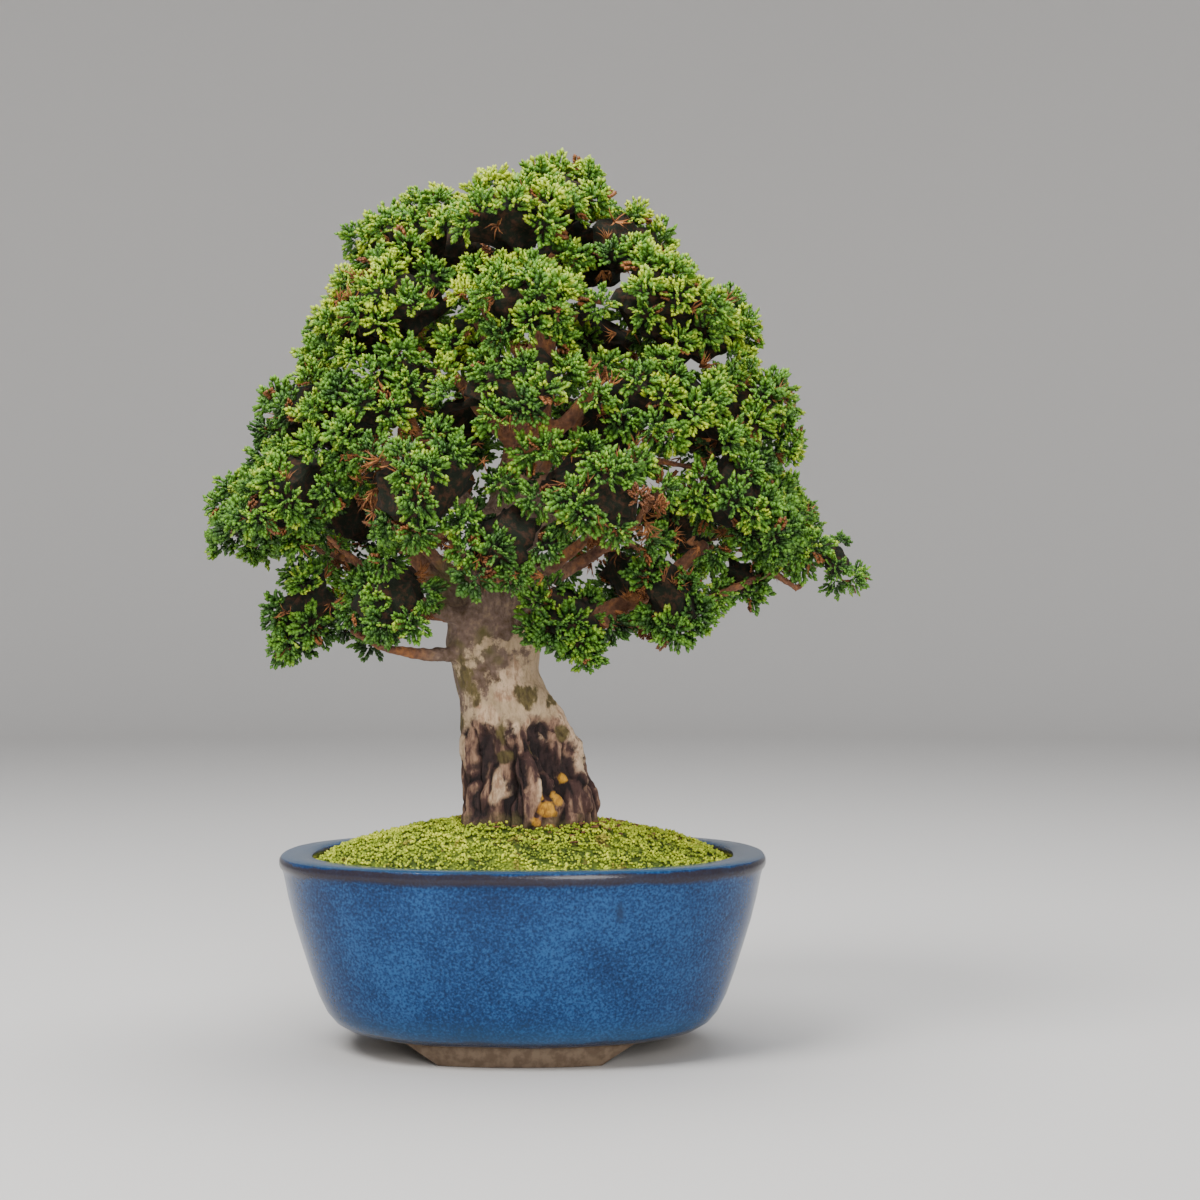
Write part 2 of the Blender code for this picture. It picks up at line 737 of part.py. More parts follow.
def add_spray(form, wish, size, draw, taken, siblings):
    """Grow one spray from the free face that looks most nearly the wished way."""
    free = [face for face in form.faces if len(face.verts) == 4]
    face = max(free, key=lambda f: f.normal.dot(wish))
    normal = face.normal.copy()
    root = face.calc_center_median() + normal * FAN_STAND
    for attempt in range(FAN_ATTEMPTS):
        tilt = Vector(draw.uniform(-FAN_TILT, FAN_TILT) for axis in range(3))
        direction = (normal + tilt).normalized()
        axes = blade_axes(direction, draw.uniform(0.0, math.pi))
        length = FAN_LENGTH * size * (1.0 - FAN_SHRINK * attempt)
        length *= draw.uniform(1.0 - FAN_VARIES, 1.0 + FAN_VARIES)
        before = draw.getstate()
        wide = spray_points(root, axes, length + FAN_CLEARANCE, FAN_THICKNESS + 2 * FAN_CLEARANCE, draw)
        test = spray_tree(*wide)
        if any(test.overlap(tree) for tree in taken + siblings):
            continue
        draw.setstate(before)
        upper, lower = spray_points(root, axes, length, FAN_THICKNESS, draw)
        grow_spray(form, face, upper, lower)
        siblings.append(spray_tree(upper, lower))
        return


def wished_directions(outward, size, draw):
    """Give the directions that a pad's sprays should take: outwards, around, and one between."""
    around = FANS_AROUND if size > SMALL_PAD else FANS_AROUND_SMALL
    side = outward.orthogonal().normalized()
    first = draw.uniform(0.0, math.tau)
    wishes = [outward]
    for index in range(around):
        flat = Matrix.Rotation(first + math.tau * index / around, 3, outward) @ side
        wishes.append((flat + outward * draw.uniform(FAN_LOWEST, FAN_HIGHEST)).normalized())
    between = Matrix.Rotation(first + math.pi / around, 3, outward) @ side
    return wishes + [(between + outward * FAN_BETWEEN).normalized()]


def settle_heart(foot, outward, size, taken):
    """Make a heart as large as its place allows, and the wider tree that keeps others' sprays off it."""
    for attempt in range(HEART_ATTEMPTS):
        fitted = size * (1.0 - HEART_SHRINK * attempt)
        test = heart_form(foot, outward, fitted, HEART_MARGIN)
        tree = BVHTree.FromBMesh(test)
        test.free()
        if not any(tree.overlap(other) for other in taken):
            break
    form = heart_form(foot, outward, fitted)
    taken.append(BVHTree.FromBMesh(form))
    guard = heart_form(foot, outward, fitted, HEART_GUARD)
    guard_tree = BVHTree.FromBMesh(guard)
    guard.free()
    return form, guard_tree


def grow_pad(heart, outward, size, draw, others):
    """Grow a pad's sprays from a copy of its heart."""
    form = heart.copy()
    siblings = []
    for wish in wished_directions(outward, size, draw):
        form.normal_update()
        add_spray(form, wish, size, draw, others, siblings)
    bmesh.ops.triangulate(form, faces=form.faces)
    bmesh.ops.recalc_face_normals(form, faces=form.faces)
    return form


def build_pads(collection, wood, pads, finish):
    """Make every foliage pad: a heart with the sprays that stand out of it."""
    draw = random.Random(SEED)
    taken = [tree_of_object(wood)]
    hearts = [settle_heart(*pad, taken) for pad in pads]
    guards = [guard for heart, guard in hearts]
    taken = taken[:1]
    for number, ((heart, guard), (foot, outward, size)) in enumerate(zip(hearts, pads), 1):
        others = taken + guards[number:]
        form = grow_pad(heart, outward, size, draw, others)
        taken.append(BVHTree.FromBMesh(form))
        mesh_object(f"foliage_{number:02d}", form, collection, finish)


def centre_on_feet(collection):
    """Hang every piece on an empty that puts the middle of the whole tree's box over the origin."""
    corners = [obj.matrix_world @ vertex.co for obj in collection.objects for vertex in obj.data.vertices]
    middle_x = (min(c.x for c in corners) + max(c.x for c in corners)) / 2
    middle_y = (min(c.y for c in corners) + max(c.y for c in corners)) / 2
    stand = bpy.data.objects.new("stand", None)
    stand.location = (-middle_x, -middle_y, 0.0)
    collection.objects.link(stand)
    for obj in collection.objects:
        if obj is not stand:
            obj.parent = stand


def main():
    """Build the whole bonsai."""
    remove_all()
    bonsai = new_collection("hinoki_cypress_bonsai")
    cutters = new_collection("cutters")
    build_pot(bonsai, cutters, material("blue_glaze", GLAZE_LOOK))
    build_screen(bonsai, material("black_net", NET_LOOK))
    build_soil(bonsai, cutters, material("dark_soil", SOIL_LOOK))
    build_moss(bonsai, cutters, material("green_moss", MOSS_LOOK))
    pads = place_pads()
    wood = build_wood(bonsai, pads, material("grey_brown_bark", BARK_LOOK))
    build_pads(bonsai, wood, pads, material("deep_green_sprays", LEAF_LOOK))
    centre_on_feet(bonsai)
    clear(cutters)


main()
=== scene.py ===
"""Hinoki cypress bonsai in an oval blue pot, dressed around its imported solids."""

import logging
import math
import random
from dataclasses import dataclass, field
from enum import Enum
from itertools import product

import bmesh
import bpy
import numpy as np
from mathutils import Matrix, Vector, noise
from mathutils.bvhtree import BVHTree


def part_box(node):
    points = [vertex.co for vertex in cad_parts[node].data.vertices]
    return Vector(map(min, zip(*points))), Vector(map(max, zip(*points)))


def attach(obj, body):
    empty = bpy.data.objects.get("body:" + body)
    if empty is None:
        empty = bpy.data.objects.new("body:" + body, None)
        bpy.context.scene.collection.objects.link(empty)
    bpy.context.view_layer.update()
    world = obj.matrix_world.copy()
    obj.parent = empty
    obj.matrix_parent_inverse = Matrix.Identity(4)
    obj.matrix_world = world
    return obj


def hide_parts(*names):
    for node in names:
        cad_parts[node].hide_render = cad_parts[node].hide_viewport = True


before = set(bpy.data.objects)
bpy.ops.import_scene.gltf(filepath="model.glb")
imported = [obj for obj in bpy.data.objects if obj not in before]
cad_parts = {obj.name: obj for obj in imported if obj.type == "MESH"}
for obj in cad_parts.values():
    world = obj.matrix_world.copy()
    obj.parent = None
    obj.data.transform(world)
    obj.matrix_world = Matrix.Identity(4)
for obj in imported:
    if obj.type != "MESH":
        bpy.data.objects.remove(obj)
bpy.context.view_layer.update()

MM = 0.001
BODY = "root"
SEED = 4177
WELD = 0.001 * MM
TINY = 1e-15
GOLDEN_ANGLE = math.pi * (3.0 - math.sqrt(5.0))
UP = Vector((0.0, 0.0, 1.0))
STUDIO_DISTANCE = 0.650
STUDIO_HEIGHT = 0.1195
STUDIO_ASIDE = 0.0206
log = logging.getLogger("bonsai")
Colour = tuple[float, float, float]
Socket = bpy.types.NodeSocket


def node_names(prefix: str) -> list[str]:
    """List the CAD nodes whose names start with a prefix, in order."""
    return sorted(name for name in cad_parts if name.startswith(prefix))


def node_mesh(name: str) -> bpy.types.Mesh:
    """Give the mesh of a CAD node, which is only read."""
    return bpy.data.objects[name].data


def box_of(name: str) -> tuple[Vector, Vector]:
    """Give a node's lowest and highest corners."""
    low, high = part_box(name)
    return Vector(low), Vector(high)


def new_object(name: str, data: bpy.types.ID) -> bpy.types.Object:
    """Make an object and link it to the scene.

    Args:
        name: the object's name.
        data: its mesh, light or camera.

    Returns:
        The new object.
    """
    made = bpy.data.objects.new(name, data)
    bpy.context.scene.collection.objects.link(made)
    return made


def to_mesh(name: str, form: bmesh.types.BMesh) -> bpy.types.Mesh:
    """Write a bmesh into a new mesh.

    Args:
        name: the mesh's name.
        form: the bmesh, which is freed.

    Returns:
        The new mesh.
    """
    mesh = bpy.data.meshes.new(name)
    form.to_mesh(mesh)
    form.free()
    return mesh


def relax(form: bmesh.types.BMesh, rounds: int) -> None:
    """Smooth all the vertices of a bmesh.

    Args:
        form: the bmesh.
        rounds: how many times it is smoothed.
    """
    for _ in range(rounds):
        bmesh.ops.smooth_vert(form, verts=form.verts, factor=0.5, use_axis_x=True, use_axis_y=True,
                              use_axis_z=True)


def turn_profile(form: bmesh.types.BMesh, profile: list[tuple[float, float]], steps: int,
                 closed: bool) -> None:
    """Turn a section right round the Z axis.

    Args:
        form: the bmesh that takes the turned faces.
        profile: the section's points, each a radius and a height.
        steps: how many steps the turn has.
        closed: whether the last point is joined to the first.
    """
    points = [form.verts.new((radius, 0.0, height)) for radius, height in profile]
    edges = [form.edges.new(pair) for pair in zip(points, points[1:] + points[:1] * closed)]
    bmesh.ops.spin(form, geom=points + edges, cent=(0.0, 0.0, 0.0), axis=UP, dvec=(0.0, 0.0, 0.0),
                   angle=math.tau, steps=steps, use_merge=True, use_duplicate=False)
    bmesh.ops.remove_doubles(form, verts=form.verts, dist=WELD)


def scatter(draw: random.Random, reach: float) -> Vector:
    """Draw a vector whose three parts lie within a reach of zero."""
    return Vector(draw.uniform(-reach, reach) for axis in range(3))


def any_turn(draw: random.Random) -> float:
    """Draw a full turn's angle."""
    return draw.uniform(0.0, math.tau)


def voxel_remesh(mesh: bpy.types.Mesh, voxel: float) -> bpy.types.Mesh:
    """Remesh a closed mesh on a grid, and remove the mesh that was given.

    Args:
        mesh: the mesh.
        voxel: the grid's pitch in metres.

    Returns:
        The new mesh.
    """
    cage = new_object("cage", mesh)
    remesh = cage.modifiers.new("remesh", "REMESH")
    remesh.mode = "VOXEL"
    remesh.voxel_size = voxel
    bpy.context.view_layer.update()
    made = bpy.data.meshes.new_from_object(cage.evaluated_get(bpy.context.evaluated_depsgraph_get()))
    bpy.data.objects.remove(cage, do_unlink=True)
    bpy.data.meshes.remove(mesh)
    return made


def finish_piece(name: str, form: bmesh.types.BMesh, material: bpy.types.Material,
                 replaced: list[str], smooth: bool = True) -> bpy.types.Object:
    """Turn a bmesh into a finished piece that rides on the tree.

    Args:
        name: the piece's name.
        form: the bmesh, which is freed.
        material: its material.
        replaced: the CAD nodes that the piece stands for.
        smooth: whether the faces are shaded smooth.

    Returns:
        The new object.
    """
    mesh = to_mesh(name, form)
    if smooth:
        mesh.shade_smooth()
    mesh.materials.append(material)
    piece = new_object(name, mesh)
    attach(piece, BODY)
    if replaced:
        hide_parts(*replaced)
    mesh.calc_loop_triangles()
    log.info("%s: %d triangles", name, len(mesh.loop_triangles))
    return piece


class Nodes:
    """A short way to write a node tree."""

    def __init__(self, tree: bpy.types.NodeTree) -> None:
        """Keep the tree that nodes are added to, and its shader where it has one."""
        self.tree = tree
        self.shader = tree.nodes.get("Principled BSDF")

    def add(self, kind: str, inputs: dict | None = None, **settings) -> bpy.types.Node:
        """Add a node, set its properties and link or set its inputs.

        Args:
            kind: the node's type without its ShaderNode prefix.
            inputs: a value or an output socket for each named or numbered input.
            settings: the node's own properties.

        Returns:
            The new node.
        """
        node = self.tree.nodes.new("ShaderNode" + kind)
        for key, value in settings.items():
            setattr(node, key, value)
        for key, value in (inputs or {}).items():
            if isinstance(value, Socket):
                self.tree.links.new(value, node.inputs[key])
            else:
                node.inputs[key].default_value = value
        return node

    def place(self) -> Socket:
        """Give the Object coordinates."""
        return self.add("TexCoord").outputs["Object"]

    def attribute(self, name: str) -> Socket:
        """Give the value of one of the piece's own attributes."""
        return self.add("Attribute", attribute_name=name).outputs["Fac"]

    def noise(self, place: Socket, scale: float, detail: float = 4.0, rough: float = 0.55) -> Socket:
        """Add a noise texture and give its grey output."""
        return self.add("TexNoise", {"Vector": place, "Scale": scale, "Detail": detail,
                                     "Roughness": rough}).outputs["Fac"]

    def ramp(self, factor: Socket, stops: list[tuple[float, Colour]]) -> Socket:
        """Add a colour ramp.

        Args:
            factor: the value that runs along the ramp.
            stops: the ramp's stops, each a position and a colour.

        Returns:
            The ramp's colour.
        """
        node = self.add("ValToRGB", {"Fac": factor})
        ramp = node.color_ramp
        while len(ramp.elements) < len(stops):
            ramp.elements.new(0.5)
        for element, (position, colour) in zip(ramp.elements, stops):
            element.position = position
            element.color = (*colour, 1.0)
        return node.outputs["Color"]

    def mask(self, value: Socket, low: float, high: float) -> Socket:
        """Map a value smoothly from 0 at low to 1 at high."""
        return self.add("MapRange", {"Value": value, "From Min": low, "From Max": high},
                        interpolation_type="SMOOTHSTEP").outputs["Result"]

    def between(self, mask: Socket, low: float, high: float) -> Socket:
        """Give low where a mask is 0 and high where it is 1."""
        return self.add("MapRange", {"Value": mask, "To Min": low, "To Max": high}).outputs["Result"]

    def mix(self, factor: Socket, first: Socket | Colour, second: Socket | Colour) -> Socket:
        """Mix two colours.

        Args:
            factor: the second colour's share.
            first: the first colour.
            second: the second colour.

        Returns:
            The mixed colour.
        """
        sockets = {0: factor, 6: first, 7: second}
        inputs = {slot: value if isinstance(value, Socket) else (*value, 1.0)
                  for slot, value in sockets.items()}
        return self.add("Mix", data_type="RGBA", inputs=inputs).outputs[2]

    def tint(self, mask: Socket, share: float, colour: Socket, tone: Socket | Colour) -> Socket:
        """Lay a share of a tone over a colour where a mask is set."""
        return self.mix(self.math("MULTIPLY", mask, share), colour, tone)

    def math(self, operation: str, *values: Socket | float) -> Socket:
        """Do arithmetic on one to three values."""
        return self.add("Math", dict(enumerate(values)), operation=operation).outputs[0]

    def vector_math(self, operation: str, *values: Socket | Colour) -> bpy.types.Node:
        """Do arithmetic on one or two vectors and give the node."""
        return self.add("VectorMath", dict(enumerate(values)), operation=operation)

    def centred(self, value: Socket, reach: float) -> Socket:
        """Stretch a value of 0 to 1 over a reach that is centred on zero."""
        return self.math("MULTIPLY_ADD", value, reach, -reach / 2)

    def feed(self, name: str, value: Socket) -> None:
        """Link a value to one of the shader's inputs."""
        self.tree.links.new(value, self.shader.inputs[name])

    def bump(self, height: Socket, distance: float, strength: float = 1.0) -> None:
        """Feed a height to the shader's normal."""
        made = self.add("Bump", {"Height": height, "Distance": distance, "Strength": strength})
        self.feed("Normal", made.outputs["Normal"])


def new_material(name: str, roughness: float) -> tuple[bpy.types.Material, Nodes]:
    """Start a material with its Principled shader.

    Args:
        name: the material's name.
        roughness: the shader's plain roughness.

    Returns:
        The material and its node writer.
    """
    material = bpy.data.materials.new(name)
    material.use_nodes = True
    nodes = Nodes(material.node_tree)
    nodes.shader.inputs["Roughness"].default_value = roughness
    return material, nodes


def mottle_group() -> bpy.types.NodeTree:
    """Build the shared group that gives two scales of mottling as one grey value.

    Returns:
        The group.
    """
    group = bpy.data.node_groups.new("mottle", "ShaderNodeTree")
    group.interface.new_socket("Vector", in_out="INPUT", socket_type="NodeSocketVector")
    for name in ("Coarse", "Fine", "Share"):
        group.interface.new_socket(name, in_out="INPUT", socket_type="NodeSocketFloat")
    group.interface.new_socket("Value", in_out="OUTPUT", socket_type="NodeSocketFloat")
    nodes = Nodes(group)
    start = group.nodes.new("NodeGroupInput").outputs
    end = group.nodes.new("NodeGroupOutput")
    coarse = nodes.noise(start["Vector"], start["Coarse"], 5.0, 0.6)
    fine = nodes.noise(start["Vector"], start["Fine"], 2.0, 0.5)
    blend = nodes.add("Mix", {0: start["Share"], 2: coarse, 3: fine}, data_type="FLOAT")
    group.links.new(blend.outputs[0], end.inputs["Value"])
    return group


MOTTLE = mottle_group()


def mottle(nodes: Nodes, place: Socket, coarse: float, fine: float, share: float = 0.5) -> Socket:
    """Place the shared mottling group.

    Args:
        nodes: the material's node writer.
        place: the coordinates.
        coarse: the scale of the large blotches.
        fine: the scale of the small ones.
        share: the small ones' share.

    Returns:
        The mottling's value.
    """
    node = nodes.tree.nodes.new("ShaderNodeGroup")
    node.node_tree = MOTTLE
    nodes.tree.links.new(place, node.inputs["Vector"])
    for name, value in (("Coarse", coarse), ("Fine", fine), ("Share", share)):
        node.inputs[name].default_value = value
    return node.outputs["Value"]


@dataclass(frozen=True)
class LeafFinish:
    """The scale leaves: deep green with fresh yellow-green tips and dead orange-brown bits, over pad cores of
    painted shade.
    """

    shade: Colour = (0.004, 0.008, 0.002)
    deep: Colour = (0.036, 0.118, 0.010)
    middle: Colour = (0.130, 0.310, 0.020)
    fresh: Colour = (0.560, 0.680, 0.040)
    dead: Colour = (0.350, 0.120, 0.030)
    dead_dark: Colour = (0.110, 0.040, 0.015)
    shaded_core_twig: Colour = (0.050, 0.020, 0.009)
    roughness: float = 0.52
    grain_scales: tuple[float, float, float] = (90.0, 900.0, 0.4)
    grain_reach: float = 0.30
    patch_scale: float = 260.0
    patch_reach: float = 0.70
    core_scale: float = 520.0
    core_ages: tuple[float, float] = (-0.15, -0.30)
    needle_scale: float = 2600.0
    needle_depth: float = 0.2 * MM

    def build(self) -> bpy.types.Material:
        """Make the leaf material from the pieces' own age and dead attributes.

        Returns:
            The material.
        """
        material, nodes = new_material("hinoki_sprays", self.roughness)
        place = nodes.place()
        age = nodes.attribute("age")
        grain = mottle(nodes, place, *self.grain_scales)
        patch = nodes.noise(place, self.patch_scale, 3.0)
        shifted = nodes.math("ADD", nodes.centred(grain, self.grain_reach),
                             nodes.math("ADD", age, nodes.centred(patch, self.patch_reach)))
        green = nodes.ramp(shifted, [(0.0, self.shade), (0.35, self.deep), (0.68, self.middle),
                                     (1.0, self.fresh)])
        brown = nodes.ramp(grain, [(0.35, self.dead_dark), (0.65, self.dead)])
        # Painted shade: the pad cores are coloured near black, with dark brown twig bits, as the shade inside
        # the crown.
        core_shade_and_twigs = nodes.ramp(nodes.noise(place, self.core_scale, 5.0, 0.7),
                            [(0.47, self.shade), (0.62, self.shaded_core_twig)])
        core = nodes.mask(age, *self.core_ages)
        green = nodes.mix(core, green, core_shade_and_twigs)
        nodes.feed("Roughness", nodes.between(core, self.roughness, 1.0))
        nodes.feed("Base Color", nodes.mix(nodes.attribute("dead"), green, brown))
        nodes.bump(nodes.noise(place, self.needle_scale, 2.0), self.needle_depth, 0.6)
        return material


@dataclass(frozen=True)
class BarkFinish:
    """The bark: grey-brown above, cream at the waist, dark and rugged at the base, red-brown on boughs."""

    upper: Colour = (0.105, 0.062, 0.030)
    upper_grey: Colour = (0.215, 0.140, 0.110)
    upper_light: Colour = (0.430, 0.300, 0.175)
    waist: Colour = (0.640, 0.470, 0.300)
    olive: Colour = (0.120, 0.100, 0.030)
    twig_dark: Colour = (0.095, 0.040, 0.024)
    twig: Colour = (0.235, 0.100, 0.050)
    flake: Colour = (0.480, 0.190, 0.060)
    base_dark: Colour = (0.012, 0.006, 0.007)
    base: Colour = (0.090, 0.042, 0.036)
    base_light: Colour = (0.560, 0.340, 0.215)
    tones: tuple[tuple[str, Colour, Colour], ...] = (
        ("cream", (0.820, 0.600, 0.400), (0.430, 0.250, 0.150)),
        ("ochre", (0.860, 0.440, 0.040), (0.420, 0.180, 0.030)),
        ("lichen", (0.165, 0.125, 0.042), (0.090, 0.062, 0.026)),
        # Painted shade: the dark tone colours the sunk hollows near black.
        ("dark", (0.012, 0.007, 0.008), (0.048, 0.025, 0.024)),
    )
    roughness: float = 0.82
    fibre_stretch: float = 0.30
    fibre_scale: float = 620.0
    plate_scale: float = 330.0
    blotch_scales: tuple[float, float, float] = (150.0, 760.0, 0.40)
    waist_top: float = 0.1060
    waist_fade: float = 3.5 * MM
    waist_tilt: float = 0.45
    waist_wave: float = 0.100
    base_edge: tuple[float, float] = (0.0885, 0.0835)
    base_wave: float = 0.040
    moss_edge: tuple[float, float] = (0.0705, 0.0665)
    moss_wave: float = 0.014
    moss_share: float = 0.6
    relief_depth: float = 1.2 * MM

    def tone_mask(self, nodes: Nodes, name: str, grain: Socket) -> Socket:
        """Break the edge of a tone that the trunk's own attribute carries."""
        ragged = nodes.math("MULTIPLY", nodes.attribute(name), nodes.math("MULTIPLY_ADD", grain, 5.4, -1.70))
        return nodes.mask(ragged, 0.20, 0.66)

    def trunk(self, nodes: Nodes, place: Socket, fibre: Socket, blotch: Socket) -> Socket:
        """Colour the trunk above its base: grey-brown, and cream below the slanting top of the waist.

        Args:
            nodes: the material's node writer.
            place: the Object coordinates.
            fibre: the bark's long grain.
            blotch: the bark's mottling.

        Returns:
            The colour.
        """
        axes = nodes.add("SeparateXYZ", {0: place}).outputs
        upper = nodes.ramp(blotch, [(0.34, self.upper), (0.52, self.upper_grey), (0.70, self.upper_light)])
        upper = nodes.mix(nodes.mask(nodes.noise(place, 75.0, 3.0), 0.50, 0.66), upper, self.olive)
        tilted = nodes.math("MULTIPLY_ADD", axes["X"], -self.waist_tilt, axes["Z"])
        tilted = nodes.math("ADD", tilted, nodes.centred(nodes.noise(place, 68.0, 6.0, 0.7), self.waist_wave))
        above = nodes.mask(tilted, self.waist_top + self.waist_fade, self.waist_top - self.waist_fade)
        pale = nodes.mix(nodes.mask(fibre, 0.40, 0.70), self.waist, self.upper_light)
        return nodes.mix(above, upper, pale)

    def rugged_base(self, nodes: Nodes, long_way: Socket, fibre: Socket) -> Socket:
        """Colour the base: dark in the creases, which is painted shade, and pale on the plates.

        Args:
            nodes: the material's node writer.
            long_way: the coordinates stretched along the trunk.
            fibre: the bark's long grain.

        Returns:
            The colour.
        """
        # Painted shade: the crease attribute darkens the base in its creases.
        relief = nodes.math("SUBTRACT", nodes.math("MULTIPLY_ADD", fibre, 0.9, 0.12),
                            nodes.math("MULTIPLY", nodes.attribute("crease"), 0.55))
        relief = nodes.math("ADD", relief, nodes.centred(nodes.noise(long_way, self.plate_scale, 3.0), 0.9))
        return nodes.ramp(relief, [(0.16, self.base_dark), (0.50, self.base), (0.82, self.base_light)])

    def build(self) -> bpy.types.Material:
        """Make the bark material from heights and the trunk's own attributes.

        Returns:
            The material.
        """
        material, nodes = new_material("hinoki_bark", self.roughness)
        place = nodes.place()
        height = nodes.add("SeparateXYZ", {0: place}).outputs["Z"]
        long_way = nodes.add("Mapping", {"Vector": place, "Scale": (1.0, 1.0, self.fibre_stretch)}).outputs[0]
        fibre = nodes.noise(long_way, self.fibre_scale, 6.0, 0.7)
        blotch = mottle(nodes, place, *self.blotch_scales)
        wavy = nodes.math("ADD", height, nodes.centred(nodes.noise(place, 85.0, 5.0, 0.65), self.base_wave))
        colour = nodes.mix(nodes.mask(wavy, *self.base_edge), self.trunk(nodes, place, fibre, blotch),
                           self.rugged_base(nodes, long_way, fibre))
        edge = nodes.math("MULTIPLY_ADD", fibre, 0.5, nodes.math("MULTIPLY", blotch, 0.5))
        for name, tone, streak in self.tones:
            shade = nodes.mix(nodes.mask(edge, 0.44, 0.60), tone, streak)
            colour = nodes.mix(self.tone_mask(nodes, name, edge), colour, shade)
        foot = nodes.math("ADD", height, nodes.math("MULTIPLY", nodes.noise(place, 220.0), self.moss_wave))
        colour = nodes.tint(nodes.mask(foot, *self.moss_edge), self.moss_share, colour, self.olive)
        twigs = nodes.ramp(blotch, [(0.36, self.twig_dark), (0.50, self.twig), (0.66, self.flake)])
        nodes.feed("Base Color", nodes.mix(nodes.attribute("twig"), colour, twigs))
        nodes.bump(nodes.math("ADD", fibre, blotch), self.relief_depth, 0.9)
        return material


@dataclass(frozen=True)
class GlazeFinish:
    """The pot: a mottled blue glaze that breaks brown at the rim, over buff clay feet.

    A pair of heights or distances is where a place in the finish starts to fade and where it has faded.
    """

    deep: Colour = (0.003, 0.018, 0.070)
    middle: Colour = (0.006, 0.040, 0.135)
    pale: Colour = (0.016, 0.085, 0.235)
    lower: Colour = (0.024, 0.086, 0.165)
    edge: Colour = (0.026, 0.018, 0.018)
    rim: Colour = (0.050, 0.125, 0.220)
    spot: Colour = (0.008, 0.024, 0.070)
    clay: Colour = (0.165, 0.118, 0.080)
    clay_dark: Colour = (0.105, 0.072, 0.048)
    roughness: float = 0.20
    clay_roughness: float = 0.85
    coat: float = 0.05
    coat_roughness: float = 0.08
    specular: float = 0.26
    speckle_scales: tuple[float, float, float] = (48.0, 1500.0, 0.62)
    speckle_depth: float = 0.3 * MM
    lower_wave: float = 0.014
    lower_edge: tuple[float, float] = (0.022, 0.013)
    spot_place: tuple[float, float, float] = (0.0235, -0.048, 0.0414)
    spot_squeeze: tuple[float, float, float] = (2.0, 0.1, 0.9)
    spot_edge: tuple[float, float] = (0.0034, 0.0008)
    wave: float = 2.4 * MM
    band_bottom: tuple[float, float] = (0.0478, 0.0492)
    band_top: tuple[float, float] = (0.0516, 0.0510)
    rim_edge: tuple[float, float] = (0.0514, 0.0519)
    line_edge: tuple[float, float] = (0.0080, 0.0070)
    clay_edge: tuple[float, float] = (0.0062, 0.0054)

    def blue(self, nodes: Nodes, place: Socket, height: Socket, speckle: Socket) -> Socket:
        """Colour the glaze: speckled, paler low down, with one dark spot.

        Args:
            nodes: the material's node writer.
            place: the Object coordinates.
            height: the height over the ground.
            speckle: the glaze's mottling.

        Returns:
            The colour.
        """
        colour = nodes.ramp(speckle, [(0.37, self.deep), (0.50, self.middle), (0.62, self.pale)])
        sunk = nodes.math("ADD", height, nodes.math("MULTIPLY", speckle, self.lower_wave))
        colour = nodes.tint(nodes.mask(sunk, *self.lower_edge), 0.45, colour, self.lower)
        apart = nodes.vector_math("SUBTRACT", place, self.spot_place).outputs[0]
        squeezed = nodes.vector_math("MULTIPLY", apart, self.spot_squeeze).outputs[0]
        reach = nodes.vector_math("LENGTH", squeezed).outputs["Value"]
        return nodes.tint(nodes.mask(reach, *self.spot_edge), 0.75, colour, self.spot)

    def build(self) -> bpy.types.Material:
        """Make the glaze, its dark edge lines and the bare clay below.

        Returns:
            The material.
        """
        material, nodes = new_material("blue_glaze", self.roughness)
        place = nodes.place()
        height = nodes.add("SeparateXYZ", {0: place}).outputs["Z"]
        speckle = mottle(nodes, place, *self.speckle_scales)
        colour = self.blue(nodes, place, height, speckle)
        wavy = nodes.math("ADD", height, nodes.centred(nodes.noise(place, 90.0, 3.0), self.wave))
        band = nodes.math("MULTIPLY", nodes.mask(wavy, *self.band_bottom), nodes.mask(wavy, *self.band_top))
        colour = nodes.tint(band, 0.85, colour, self.edge)
        colour = nodes.tint(nodes.mask(height, *self.rim_edge), 0.6, colour, self.rim)
        colour = nodes.tint(nodes.mask(wavy, *self.line_edge), 0.6, colour, self.edge)
        bare = nodes.mask(wavy, *self.clay_edge)
        clay = nodes.mix(nodes.mask(nodes.noise(place, 420.0, 4.0), 0.35, 0.65), self.clay, self.clay_dark)
        nodes.feed("Base Color", nodes.mix(bare, colour, clay))
        nodes.feed("Roughness", nodes.between(bare, self.roughness, self.clay_roughness))
        nodes.feed("Coat Weight", nodes.between(bare, self.coat, 0.0))
        nodes.shader.inputs["Coat Roughness"].default_value = self.coat_roughness
        nodes.shader.inputs["Specular IOR Level"].default_value = self.specular
        nodes.bump(speckle, self.speckle_depth, 0.30)
        return material


@dataclass(frozen=True)
class PlainFinish:
    """A two-tone rough finish for soil, litter, dead twigs and the net."""

    name: str
    dark: Colour
    light: Colour
    coarse: float
    fine: float
    roughness: float = 0.95
    relief: float = 0.6 * MM

    def build(self) -> bpy.types.Material:
        """Make the finish from the shared mottling.

        Returns:
            The material.
        """
        material, nodes = new_material(self.name, self.roughness)
        value = mottle(nodes, nodes.place(), self.coarse, self.fine)
        nodes.feed("Base Color", nodes.ramp(value, [(0.38, self.dark), (0.62, self.light)]))
        nodes.bump(value, self.relief)
        return material


